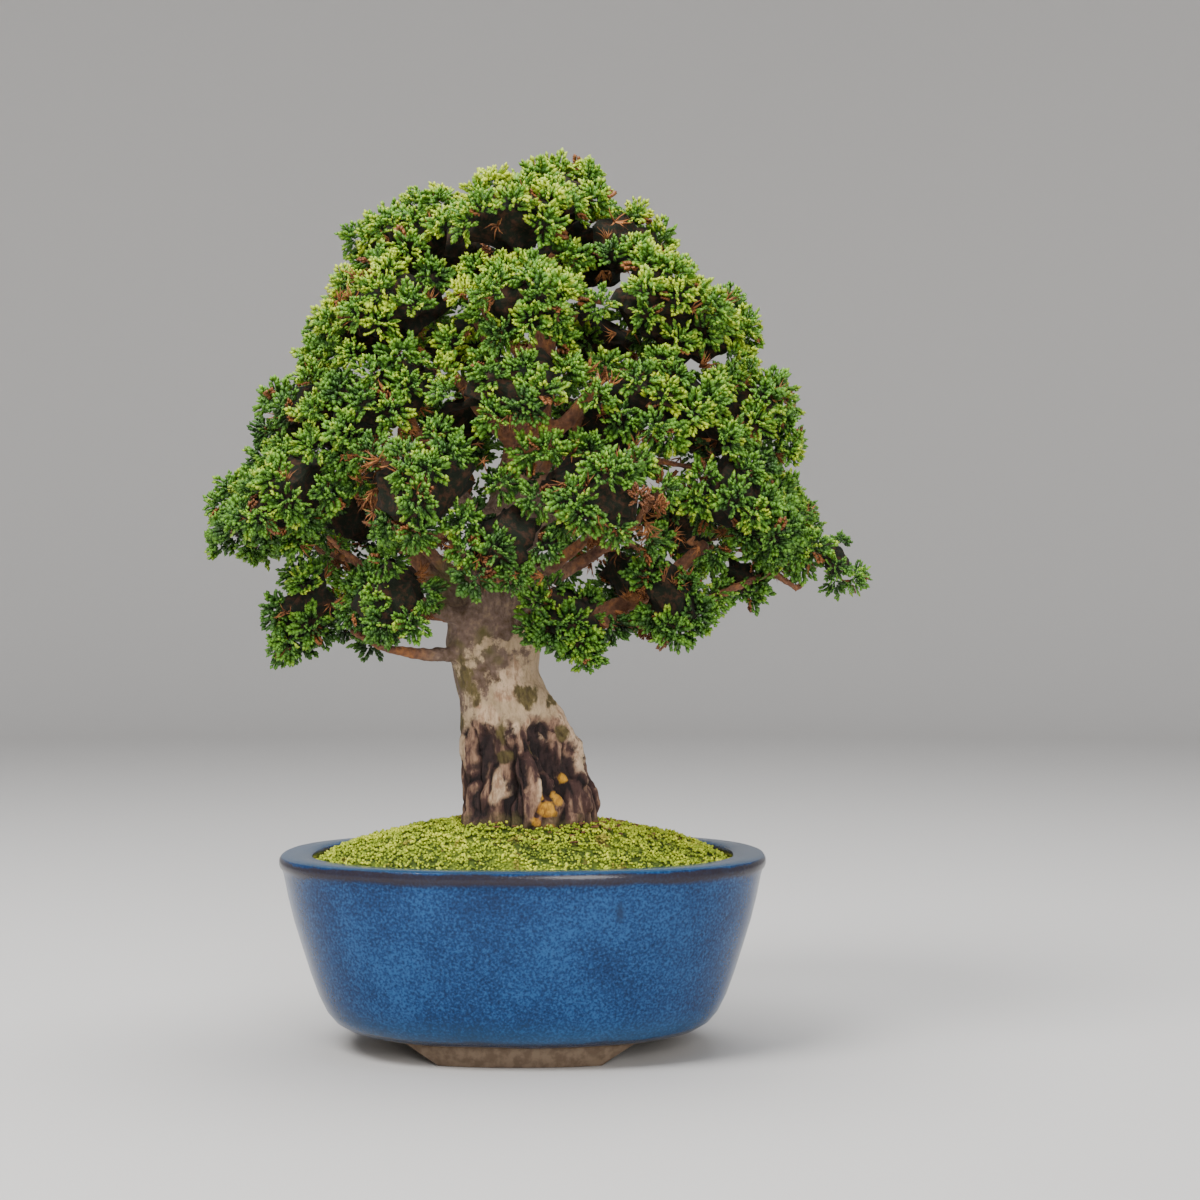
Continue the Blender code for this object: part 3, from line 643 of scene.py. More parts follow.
@dataclass(frozen=True)
class MossFinish:
    """The moss: a bright yellow-green carpet with darker hollows and a few brown places."""

    dark: Colour = (0.070, 0.110, 0.010)
    middle: Colour = (0.370, 0.480, 0.022)
    bright: Colour = (0.900, 0.940, 0.080)
    brown: Colour = (0.220, 0.110, 0.035)
    roughness: float = 0.8
    patch_scale: float = 130.0
    patch_reach: float = 1.1
    worn_scale: float = 150.0
    worn_edge: tuple[float, float] = (0.61, 0.68)
    worn_share: float = 0.6

    def build(self) -> bpy.types.Material:
        """Make the moss from its heads' age attribute.

        Returns:
            The material.
        """
        material, nodes = new_material("moss_carpet", self.roughness)
        place = nodes.place()
        patchy = nodes.centred(nodes.noise(place, self.patch_scale, 4.0), self.patch_reach)
        shifted = nodes.math("ADD", nodes.attribute("age"), patchy)
        green = nodes.ramp(shifted, [(0.0, self.dark), (0.5, self.middle), (1.0, self.bright)])
        worn = nodes.mask(nodes.noise(place, self.worn_scale, 3.0), *self.worn_edge)
        nodes.feed("Base Color", nodes.tint(worn, self.worn_share, green, self.brown))
        return material


@dataclass
class Stamp:
    """A small shape in arrays, ready to be copied many times."""

    points: np.ndarray
    faces: np.ndarray
    values: dict[str, np.ndarray]


def read_stamp(mesh: bpy.types.Mesh) -> Stamp:
    """Read a mesh's points and triangles.

    Args:
        mesh: the mesh.

    Returns:
        The stamp, without attributes.
    """
    mesh.calc_loop_triangles()
    points = np.empty(len(mesh.vertices) * 3)
    mesh.vertices.foreach_get("co", points)
    faces = np.empty(len(mesh.loop_triangles) * 3, dtype=np.int64)
    mesh.loop_triangles.foreach_get("vertices", faces)
    return Stamp(points.reshape(-1, 3), faces.reshape(-1, 3), {})


def stamp_of(form: bmesh.types.BMesh) -> Stamp:
    """Turn a bmesh into a stamp.

    Args:
        form: the bmesh, which is freed.

    Returns:
        The stamp.
    """
    mesh = to_mesh("stamp", form)
    stamp = read_stamp(mesh)
    bpy.data.meshes.remove(mesh)
    return stamp


class MeshPile:
    """Gathers many placed copies of small meshes and turns them into one mesh quickly."""

    def __init__(self, attributes: tuple[str, ...]) -> None:
        """Start an empty pile.

        Args:
            attributes: the names of the float attributes that its vertices carry.
        """
        self.points: list[np.ndarray] = []
        self.faces: list[np.ndarray] = []
        self.values: dict[str, list[np.ndarray]] = {name: [] for name in attributes}
        self.count = 0

    def add(self, shape: Stamp, place: Matrix, **changes: float) -> None:
        """Add a copy of a stamp.

        Args:
            shape: the stamp.
            place: its matrix.
            changes: what is added to each attribute's own value.
        """
        matrix = np.array(place)
        self.points.append(shape.points @ matrix[:3, :3].T + matrix[:3, 3])
        self.faces.append(shape.faces + self.count)
        self.count += len(shape.points)
        for name, stack in self.values.items():
            stack.append(shape.values.get(name, np.zeros(len(shape.points))) + changes.get(name, 0.0))

    def to_stamp(self) -> Stamp:
        """Give the pile as one stamp."""
        return Stamp(np.concatenate(self.points), np.concatenate(self.faces),
                     {name: np.concatenate(stack) for name, stack in self.values.items()})

    def to_bmesh(self) -> bmesh.types.BMesh:
        """Give the pile as a bmesh of triangles.

        Returns:
            The bmesh.
        """
        whole = self.to_stamp()
        corners = whole.faces.size
        mesh = bpy.data.meshes.new("pile")
        mesh.vertices.add(len(whole.points))
        mesh.vertices.foreach_set("co", whole.points.astype(np.float32).ravel())
        mesh.loops.add(corners)
        mesh.loops.foreach_set("vertex_index", whole.faces.astype(np.int32).ravel())
        mesh.polygons.add(len(whole.faces))
        mesh.polygons.foreach_set("loop_start", np.arange(0, corners, 3, dtype=np.int32))
        for name, values in whole.values.items():
            layer = mesh.attributes.new(name, "FLOAT", "POINT")
            layer.data.foreach_set("value", values.astype(np.float32))
        mesh.update(calc_edges=True)
        form = bmesh.new()
        form.from_mesh(mesh)
        bpy.data.meshes.remove(mesh)
        return form


def closed_bud(form: bmesh.types.BMesh, sides: int, radius: float, height: float, belly: float) -> None:
    """Shape a bmesh into a small bud that is pointed at both ends and stands on the origin.

    Args:
        form: an empty bmesh.
        sides: how many sides the bud has.
        radius: its radius at the widest ring.
        height: its height.
        belly: the height of the widest ring, as a share of the whole.
    """
    bmesh.ops.create_cone(form, cap_ends=False, segments=sides, radius1=radius, radius2=0.0,
                          depth=height * (1.0 - belly))
    bmesh.ops.translate(form, verts=form.verts, vec=(0.0, 0.0, height * (1.0 + belly) / 2))
    bmesh.ops.remove_doubles(form, verts=form.verts, dist=WELD)
    root = bmesh.ops.extrude_edge_only(form, edges=[edge for edge in form.edges if edge.is_boundary])
    lowered = [item for item in root["geom"] if isinstance(item, bmesh.types.BMVert)]
    bmesh.ops.pointmerge(form, verts=lowered, merge_co=(0.0, 0.0, 0.0))
    bmesh.ops.recalc_face_normals(form, faces=form.faces)


@dataclass
class TuftPress:
    """Makes the few foliage tufts that the whole crown is set with.

    A tuft is some fifteen short sprays that fan out from one point, and a spray is a row of rounded lobes
    to the left and right of its rib.
    """

    kinds: int = 8
    sprays: int = 15
    lobes: int = 12
    sides: int = 3
    dead_sprays: float = 0.035
    spray_length: float = 5.9 * MM
    root: float = 0.8 * MM
    lobe_length: float = 1.85 * MM
    lobe_half_width: float = 0.64 * MM
    lobe_half_depth: float = 0.46 * MM
    lobe_belly: float = 0.60
    lobe_spread: float = 46.0
    lobe_aside: float = 0.12 * MM
    lobe_tilt: float = 0.35
    lobe_turns: tuple[float, float] = (0.7, 1.2)
    lobe_sizes: tuple[float, float] = (0.80, 1.15)
    tuft_spread: float = 82.0
    spray_sizes: tuple[float, float] = (0.80, 1.16)
    spray_bend: float = 0.25
    root_age: float = 0.32
    tip_age: float = 0.32
    tone_spread: float = 0.07
    stamps: list[Stamp] = field(default_factory=list)

    def lobe(self) -> Stamp:
        """Make one lobe: a blunt flattened bud along local X, darker at its root and paler at its tip.

        Returns:
            The lobe.
        """
        form = bmesh.new()
        closed_bud(form, self.sides, 1.0 * MM, self.lobe_length, self.lobe_belly)
        flat = Matrix.Diagonal((self.lobe_half_depth / MM, self.lobe_half_width / MM, 1.0, 1.0))
        bmesh.ops.transform(form, matrix=Matrix.Rotation(math.pi / 2, 4, "Y") @ flat, verts=form.verts)
        stamp = stamp_of(form)
        share = stamp.points[:, 0] / self.lobe_length
        stamp.values["age"] = np.where(share < 0.1, -0.10, np.where(share > 0.9, 0.05, 0.0))
        return stamp

    def add_spray(self, pile: MeshPile, lobe: Stamp, turn: Matrix, draw: random.Random) -> None:
        """Add one spray that leaves the tuft's root along the turned X axis.

        Args:
            pile: the tuft's pile.
            lobe: the lobe that the spray is a row of.
            turn: the spray's rotation.
            draw: the random source.
        """
        size = draw.uniform(*self.spray_sizes)
        tone = draw.gauss(0.0, self.tone_spread)
        dead = float(draw.random() < self.dead_sprays)
        bend = draw.uniform(-self.spray_bend, self.spray_bend)
        for index in range(self.lobes):
            share = index / (self.lobes - 1)
            side = 1 if index % 2 else -1
            spread = self.lobe_spread * draw.uniform(*self.lobe_turns) * (1.0 - 0.3 * share)
            heading = 0.0 if index == self.lobes - 1 else side * math.radians(spread)
            along = self.root + (self.spray_length - self.root) * (0.25 + 0.55 * share) * size
            root = Vector((along, side * self.lobe_aside, bend * along * along / self.spray_length))
            tilt = -math.atan(2 * bend * share) + draw.uniform(-self.lobe_tilt, self.lobe_tilt)
            place = (turn @ Matrix.Translation(root) @ Matrix.Rotation(heading, 4, "Z")
                     @ Matrix.Rotation(tilt, 4, "Y")
                     @ Matrix.Scale(size * draw.uniform(*self.lobe_sizes), 4))
            pile.add(lobe, place, age=self.root_age + self.tip_age * share + tone, dead=dead)

    def press(self) -> None:
        """Make every kind of tuft."""
        draw = random.Random(SEED)
        lobe = self.lobe()
        for _ in range(self.kinds):
            pile = MeshPile(("age", "dead"))
            for index in range(self.sprays):
                lean = math.radians(self.tuft_spread) * math.sqrt((index + 0.35) / self.sprays)
                around = index * GOLDEN_ANGLE + draw.uniform(-0.3, 0.3)
                turn = (Matrix.Rotation(around, 4, "Z") @ Matrix.Rotation(lean - math.pi / 2, 4, "Y")
                        @ Matrix.Rotation(draw.uniform(0.0, math.pi), 4, "X"))
                self.add_spray(pile, lobe, turn, draw)
            self.stamps.append(pile.to_stamp())


class SurfaceSampler:
    """Draws points on a mesh, evenly by area."""

    def __init__(self, mesh: bpy.types.Mesh, draw: random.Random) -> None:
        """Measure the mesh's triangles.

        Args:
            mesh: the mesh, which is only read.
            draw: the random source.
        """
        stamp = read_stamp(mesh)
        self.corners = stamp.points[stamp.faces]
        sides = self.corners[:, 1:] - self.corners[:, :1]
        cross = np.cross(sides[:, 0], sides[:, 1])
        area = np.linalg.norm(cross, axis=1)
        self.normals = cross / np.maximum(area, TINY)[:, None]
        self.heap = np.cumsum(area)
        self.draw = draw

    def one(self) -> tuple[Vector, Vector]:
        """Draw one point.

        Returns:
            The point and its surface normal.
        """
        target = self.draw.random() * self.heap[-1]
        index = min(int(np.searchsorted(self.heap, target)), len(self.heap) - 1)
        first, second = self.draw.random(), self.draw.random()
        if first + second > 1.0:
            first, second = 1.0 - first, 1.0 - second
        a, b, c = self.corners[index]
        return Vector(a + (b - a) * first + (c - a) * second), Vector(self.normals[index])


def heading_matrix(place: Vector, heading: Vector, twist: float, size: float) -> Matrix:
    """Give the matrix that points local Z along a heading at a place."""
    turn = heading.to_track_quat("Z", "X").to_matrix().to_4x4()
    return Matrix.Translation(place) @ turn @ Matrix.Rotation(twist, 4, "Z") @ Matrix.Scale(size, 4)


@dataclass
class TuftSpot:
    """Where one tuft stands in the crown, and how much of it shows."""

    place: Vector
    heading: Vector
    showing: float


@dataclass
class Pad:
    """One foliage pad's CAD node with the round form that its sprays reach out to."""

    name: str
    centre: Vector
    hull: bpy.types.Mesh
    tree: BVHTree
    spots: list[TuftSpot] = field(default_factory=list)


@dataclass
class CrownSkin:
    """The outer form of the whole crown, which closes the narrow valleys between its pads."""

    voxel: float = 2.4 * MM
    bridge: float = 4.2 * MM
    lump: float = 1.7 * MM
    lump_scale: float = 105.0
    smoothing: int = 3

    def shift(self, mesh: bpy.types.Mesh, distance: float, lump: float) -> None:
        """Move a mesh's vertices along their normals.

        Args:
            mesh: the mesh.
            distance: how far every vertex moves.
            lump: the most that noise adds to that.
        """
        count = len(mesh.vertices) * 3
        points = np.empty(count)
        normals = np.empty(count)
        mesh.vertices.foreach_get("co", points)
        mesh.vertex_normals.foreach_get("vector", normals)
        bumps = np.array([noise.noise(vertex.co * self.lump_scale) for vertex in mesh.vertices])
        moved = points + normals * np.repeat(distance + lump * bumps, 3)
        mesh.vertices.foreach_set("co", moved)
        mesh.update()

    def build(self, pads: list[Pad]) -> bpy.types.Mesh:
        """Make the skin: the pads' forms swollen till they meet, joined, and drawn in again.

        Args:
            pads: the crown's pads.

        Returns:
            The skin's mesh.
        """
        form = bmesh.new()
        for pad in pads:
            form.from_mesh(pad.hull)
        mesh = voxel_remesh(to_mesh("pad_forms", form), self.voxel)
        self.shift(mesh, self.bridge, 0.0)
        mesh = voxel_remesh(mesh, self.voxel)
        self.shift(mesh, -self.bridge, self.lump)
        form = bmesh.new()
        form.from_mesh(mesh)
        bpy.data.meshes.remove(mesh)
        relax(form, self.smoothing)
        return to_mesh("crown_skin", form)


@dataclass(frozen=True)
class Zone:
    """A leaning ellipse of the crown's front, in millimetres over the pot's middle plane.

    Bare is the share of its tufts that are left out, and withered the share of the rest that is dead.
    """

    across: float
    height: float
    half_across: float
    half_height: float
    lean: float
    bare: float
    withered: float

    def holds(self, across: float, height: float) -> bool:
        """Tell whether a place seen from the front lies in the ellipse.

        Args:
            across: the place's distance to the right of the pot's middle, in metres.
            height: its height in metres.

        Returns:
            Whether the ellipse holds it.
        """
        lean = math.radians(self.lean)
        right, up = across / MM - self.across, height / MM - self.height
        along = (right * math.cos(lean) + up * math.sin(lean)) / self.half_across
        aside = (up * math.cos(lean) - right * math.sin(lean)) / self.half_height
        return math.hypot(along, aside) < 1.0


FRONT_ZONES = (
    Zone(36.0, 124.5, 17.0, 4.2, 32.0, 0.85, 0.3),
    Zone(27.5, 140.5, 15.0, 7.5, 20.0, 0.30, 0.3),
    Zone(-39.5, 151.0, 8.0, 11.0, -30.0, 0.25, 0.2),
    Zone(-13.0, 128.0, 14.0, 6.0, 0.0, 0.30, 0.1),
)


@dataclass
class Crown:
    """The foliage pads: tufts spread over the crown's outer form, each in the pad that it is nearest to."""

    material: bpy.types.Material
    press: TuftPress
    pot: Vector
    spacing: float = 8.4 * MM
    hidden_spacing: float = 15.0 * MM
    tries: int = 14000
    layers: int = 3
    sink: float = 4.6 * MM
    core_share: float = 0.57
    # Painted shade: this age gives the cores the near-black shade colour.
    core_shade_age: float = -0.40
    core_cuts: int = 2
    core_bump: float = 3.4 * MM
    core_bump_scale: float = 330.0
    gap_share: float = 0.58
    gap_chance: float = 0.045
    zone_chance: float = 0.25
    gaps: list[TuftSpot] = field(default_factory=list)
    heart: Vector = field(default_factory=lambda: Vector((0.0, 0.0, 0.140)))
    least_showing: float = -0.28
    top: float = 0.238
    bottom: float = 0.105
    tip_x: float = 0.076
    tip_core_x: float = 0.068
    tip_size: float = 0.66
    jitter: float = 0.35
    outward: float = 0.5
    upward: float = 0.2
    sizes: tuple[float, float] = (0.88, 1.14)
    withered_size: float = 0.55
    hidden_withered: float = 0.20
    bottom_age: float = -0.10
    rise_age: float = 0.34
    inner_shade_age: float = 0.20
    age_spread: float = 0.07
    bright_age: float = 0.12
    bright_chance: tuple[float, float] = (0.08, 0.16)

    def read_pads(self) -> list[Pad]:
        """Wrap every foliage node in the closed form that its sprays span.

        Returns:
            The pads, still without tufts.
        """
        pads = []
        for name in node_names("foliage_"):
            form = bmesh.new()
            low, high = box_of(name)
            for vertex in node_mesh(name).vertices:
                form.verts.new(vertex.co)
            bmesh.ops.remove_doubles(form, verts=form.verts, dist=WELD)
            wrap = bmesh.ops.convex_hull(form, input=form.verts)
            inner = {item for key in ("geom_interior", "geom_unused") for item in wrap[key]
                     if isinstance(item, bmesh.types.BMVert)}
            bmesh.ops.delete(form, geom=list(inner), context="VERTS")
            bmesh.ops.recalc_face_normals(form, faces=form.faces)
            tree = BVHTree.FromBMesh(form)
            pads.append(Pad(name, (low + high) / 2, to_mesh(name + "_form", form), tree))
        return pads

    def spread(self, pads: list[Pad]) -> None:
        """Choose the tufts' places: close together where they show, and wider inside the crown.

        Args:
            pads: the pads, each of which is given the places nearest to it.
        """
        draw = random.Random(SEED + 1)
        skin = CrownSkin().build(pads)
        sampler = SurfaceSampler(skin, draw)
        offers = []
        for _ in range(self.tries):
            point, normal = sampler.one()
            offers.append(TuftSpot(point, normal, normal.dot((point - self.heart).normalized())))
        bpy.data.meshes.remove(skin)
        offers.sort(key=lambda spot: -round(spot.showing * self.layers))
        cells: dict[tuple[int, ...], list[TuftSpot]] = {}
        count = 0
        for spot in offers:
            gap = self.spacing if spot.showing > self.least_showing else self.hidden_spacing
            cell = tuple(math.floor(value / self.hidden_spacing) for value in spot.place)
            near = min(((other.place - spot.place).length for step in product((-1, 0, 1), repeat=3)
                        for other in cells.get(tuple(map(sum, zip(cell, step))), ())), default=math.inf)
            if near < gap:
                chance = self.zone_chance if self.front_zone(spot.place) else self.gap_chance
                chance = chance if spot.place.x < self.tip_x else 0.0
                if near > min(gap, self.spacing) * self.gap_share and draw.random() < chance:
                    self.gaps.append(spot)
                continue
            cells.setdefault(cell, []).append(spot)
            nearest = min(pads, key=lambda pad: pad.tree.find_nearest(spot.place)[3])
            nearest.spots.append(spot)
            count += 1
        log.info("crown: %d tufts", count)

    def front_zone(self, place: Vector) -> Zone | None:
        """Find the zone that a place in the crown's front half is seen in.

        Args:
            place: the place.

        Returns:
            The zone, or None where the place is in no zone or behind the pot's middle.
        """
        if place.y > self.pot.y:
            return None
        near = STUDIO_DISTANCE / (STUDIO_DISTANCE + place.y - self.pot.y)
        across = STUDIO_ASIDE + (place.x - self.pot.x - STUDIO_ASIDE) * near
        height = STUDIO_HEIGHT + (place.z - STUDIO_HEIGHT) * near
        return next((zone for zone in FRONT_ZONES if zone.holds(across, height)), None)

    def add_core(self, pile: MeshPile, pad: Pad) -> None:
        """Add the dark inner mass that closes the view through a pad, coloured near black as painted shade.

        Args:
            pile: the pad's pile.
            pad: the pad.
        """
        share = self.core_share * (self.tip_size if pad.centre.x > self.tip_core_x else 1.0)
        form = bmesh.new()
        form.from_mesh(pad.hull)
        bmesh.ops.scale(form, verts=form.verts, vec=(share, share, share),
                        space=Matrix.Translation(-pad.centre))
        bmesh.ops.triangulate(form, faces=form.faces)
        bmesh.ops.subdivide_edges(form, edges=form.edges, cuts=self.core_cuts, use_grid_fill=True)
        for vertex in form.verts:
            away = (vertex.co - pad.centre).normalized()
            vertex.co += away * self.core_bump * noise.noise(vertex.co * self.core_bump_scale)
        pile.add(stamp_of(form), Matrix.Identity(4), age=self.core_shade_age)

    def build(self) -> None:
        """Make every pad."""
        pads = self.read_pads()
        self.spread(pads)
        for number, pad in enumerate(pads):
            self.build_pad(pad, random.Random(SEED + 10 + number))
            bpy.data.meshes.remove(pad.hull)

    def build_pad(self, pad: Pad, draw: random.Random) -> None:
        """Make one pad: its heart of painted shade and the tufts round it.

        Args:
            pad: the pad.
            draw: the random source.
        """
        pile = MeshPile(("age", "dead"))
        self.add_core(pile, pad)
        for spot in pad.spots:
            zone = self.front_zone(spot.place)
            if zone and draw.random() < zone.bare:
                continue
            away = (spot.place - pad.centre).normalized()
            jitter = scatter(draw, self.jitter)
            heading = (spot.heading + away * self.outward + jitter + UP * self.upward).normalized()
            rise = (spot.place.z - self.bottom) / (self.top - self.bottom)
            # Painted shade: tufts on skin that faces in towards the crown's heart are darkened.
            age = (self.rise_age * rise + self.bottom_age + draw.gauss(0.0, self.age_spread)
                   + min(0.0, spot.showing) * self.inner_shade_age)
            low_chance, more_chance = self.bright_chance
            age += self.bright_age if draw.random() < low_chance + more_chance * rise else 0.0
            hidden = self.hidden_withered if spot.showing < 0.0 else 0.0
            withered = draw.random() < (zone.withered if zone else hidden)
            size = draw.uniform(*self.sizes) * (self.withered_size if withered else 1.0)
            size *= self.tip_size if spot.place.x > self.tip_x else 1.0
            place = heading_matrix(spot.place - heading * self.sink * size, heading, any_turn(draw), size)
            pile.add(draw.choice(self.press.stamps), place, age=age, dead=float(withered))
        finish_piece(pad.name + "_sprays", pile.to_bmesh(), self.material, [pad.name])


@dataclass
class DeadTwigs:
    """Bare orange-brown twiglets that show in the gaps between the tufts."""

    material: bpy.types.Material
    gaps: list[TuftSpot]
    kinds: int = 5
    sticks: int = 7
    length: float = 5.4 * MM
    thickness: float = 0.34 * MM
    sides: int = 3
    joints: int = 2
    sink: float = 5.4 * MM
    fan: float = 0.6
    crook: float = 0.5
    taper: float = 0.6
    joint_lengths: tuple[float, float] = (0.7, 1.2)
    sizes: tuple[float, float] = (0.7, 1.1)

    def add_stick(self, form: bmesh.types.BMesh, draw: random.Random) -> None:
        """Add one crooked stick: a small ring grown joint by joint and closed to a point.

        Args:
            form: the bunch's bmesh.
            draw: the random source.
        """
        heading = Vector((draw.gauss(0.0, self.fan), draw.gauss(0.0, self.fan), 1.0)).normalized()
        middle = Vector((0.0, 0.0, 0.0))
        ring = bmesh.ops.create_circle(form, cap_ends=True, segments=self.sides, radius=self.thickness,
                                       matrix=heading_matrix(middle, heading, 0.0, 1.0))["verts"]
        edges = list({edge for vertex in ring for edge in vertex.link_edges})
        for _ in range(self.joints):
            grown = bmesh.ops.extrude_edge_only(form, edges=edges)["geom"]
            ring = [item for item in grown if isinstance(item, bmesh.types.BMVert)]
            edges = [item for item in grown if isinstance(item, bmesh.types.BMEdge)
                     and set(item.verts) <= set(ring)]
            step = heading * self.length / self.joints * draw.uniform(*self.joint_lengths)
            middle = middle + step
            bmesh.ops.translate(form, verts=ring, vec=step)
            bmesh.ops.scale(form, verts=ring, vec=(self.taper, self.taper, self.taper),
                            space=Matrix.Translation(-middle))
            heading = (heading + scatter(draw, self.crook)).normalized()
        bmesh.ops.pointmerge(form, verts=ring, merge_co=middle)

    def twiglets(self, draw: random.Random) -> Stamp:
        """Make one bunch of sticks that leave one point.

        Args:
            draw: the random source.

        Returns:
            The bunch.
        """
        form = bmesh.new()
        for _ in range(self.sticks):
            self.add_stick(form, draw)
        bmesh.ops.recalc_face_normals(form, faces=form.faces)
        return stamp_of(form)

    def build(self) -> None:
        """Set a bunch in every gap."""
        draw = random.Random(SEED + 500)
        stamps = [self.twiglets(draw) for _ in range(self.kinds)]
        pile = MeshPile(())
        for spot in self.gaps:
            heading = (spot.heading + scatter(draw, self.crook)).normalized()
            pile.add(draw.choice(stamps), heading_matrix(spot.place - heading * self.sink, heading,
                                                         any_turn(draw), draw.uniform(*self.sizes)))
        finish_piece("dead_twigs", pile.to_bmesh(), self.material, [])


class Tone(Enum):
    """The colours that a mark on the bark can take, by the attribute that carries them."""

    PLAIN = "crease"
    CREAM = "cream"
    OCHRE = "ochre"
    LICHEN = "lichen"
    # Painted shade: marks of this tone are sunk hollows coloured near black.
    DARK = "dark"


@dataclass(frozen=True)
class BarkMark:
    """One rib, hollow, knob or patch on the trunk, in millimetres as seen from one side of the pot."""

    across: float
    height: float
    half_across: float
    half_height: float
    lean: float
    rise: float
    tone: Tone
    view: float = 0.0


FRONT_MARKS = (
    BarkMark(-11.2, 78.4, 3.9, 8.6, 0.0, -2.2, Tone.DARK),
    BarkMark(-13.0, 66.0, 2.4, 5.0, 0.0, -1.2, Tone.DARK),
    BarkMark(-6.5, 69.8, 2.3, 5.4, 0.0, 0.9, Tone.CREAM),
    BarkMark(-3.2, 97.6, 6.2, 5.4, 24.0, 0.3, Tone.CREAM),
    BarkMark(-8.6, 88.5, 4.6, 3.0, 20.0, 0.1, Tone.CREAM),
    BarkMark(-15.0, 98.0, 3.2, 7.5, -14.0, 0.0, Tone.LICHEN),
    BarkMark(1.2, 94.0, 4.2, 4.6, 0.0, 0.6, Tone.LICHEN),
    BarkMark(7.0, 92.6, 3.4, 2.2, -20.0, 0.2, Tone.LICHEN),
    BarkMark(-5.0, 84.5, 2.2, 4.0, 0.0, 0.4, Tone.LICHEN),
    BarkMark(-1.8, 85.6, 1.6, 3.8, 4.0, 0.8, Tone.CREAM),
    BarkMark(1.4, 87.0, 1.0, 2.6, 0.0, 0.6, Tone.CREAM),
    BarkMark(-3.0, 74.5, 1.8, 9.0, 4.0, -2.0, Tone.DARK),
    BarkMark(0.8, 75.5, 1.4, 9.0, -6.0, -1.7, Tone.DARK),
    BarkMark(4.8, 81.0, 2.7, 7.4, -16.0, -2.2, Tone.DARK),
    BarkMark(8.6, 75.0, 2.1, 7.4, -22.0, -1.9, Tone.DARK),
    BarkMark(4.2, 69.8, 0.9, 4.6, 4.0, 0.9, Tone.CREAM),
    BarkMark(10.8, 85.6, 1.8, 7.2, -29.0, 1.1, Tone.CREAM),
    BarkMark(11.9, 72.6, 1.8, 1.9, 0.0, 0.8, Tone.OCHRE),
    BarkMark(6.6, 64.6, 2.6, 2.1, 24.0, 1.1, Tone.OCHRE),
    BarkMark(9.2, 66.6, 1.9, 2.3, -24.0, 1.0, Tone.OCHRE),
    BarkMark(8.6, 63.2, 1.3, 1.1, 0.0, 0.5, Tone.OCHRE),
    BarkMark(5.4, 67.6, 1.0, 0.9, 30.0, 0.4, Tone.OCHRE),
    BarkMark(3.4, 61.4, 2.0, 1.0, 24.0, 0.7, Tone.OCHRE),
    BarkMark(7.4, 59.4, 1.7, 1.2, 0.0, 0.9, Tone.OCHRE),
    BarkMark(15.6, 71.5, 1.5, 2.2, 0.0, 1.1, Tone.PLAIN),
    BarkMark(17.2, 65.5, 1.7, 2.4, 0.0, 1.2, Tone.PLAIN),
    BarkMark(14.0, 61.5, 2.0, 2.0, 0.0, 1.2, Tone.PLAIN),
    BarkMark(-15.0, 61.0, 2.0, 2.4, 0.0, 1.1, Tone.PLAIN),
)


# What the marks of each tone are like on the hidden sides: rise, heights and half heights in millimetres
SIDE_MARKS = {
    Tone.DARK: (-2.0, (63.0, 86.0), (3.5, 7.0)),
    Tone.CREAM: (0.8, (63.0, 86.0), (3.5, 7.0)),
    Tone.LICHEN: (0.1, (76.0, 96.0), (1.8, 3.4)),
}


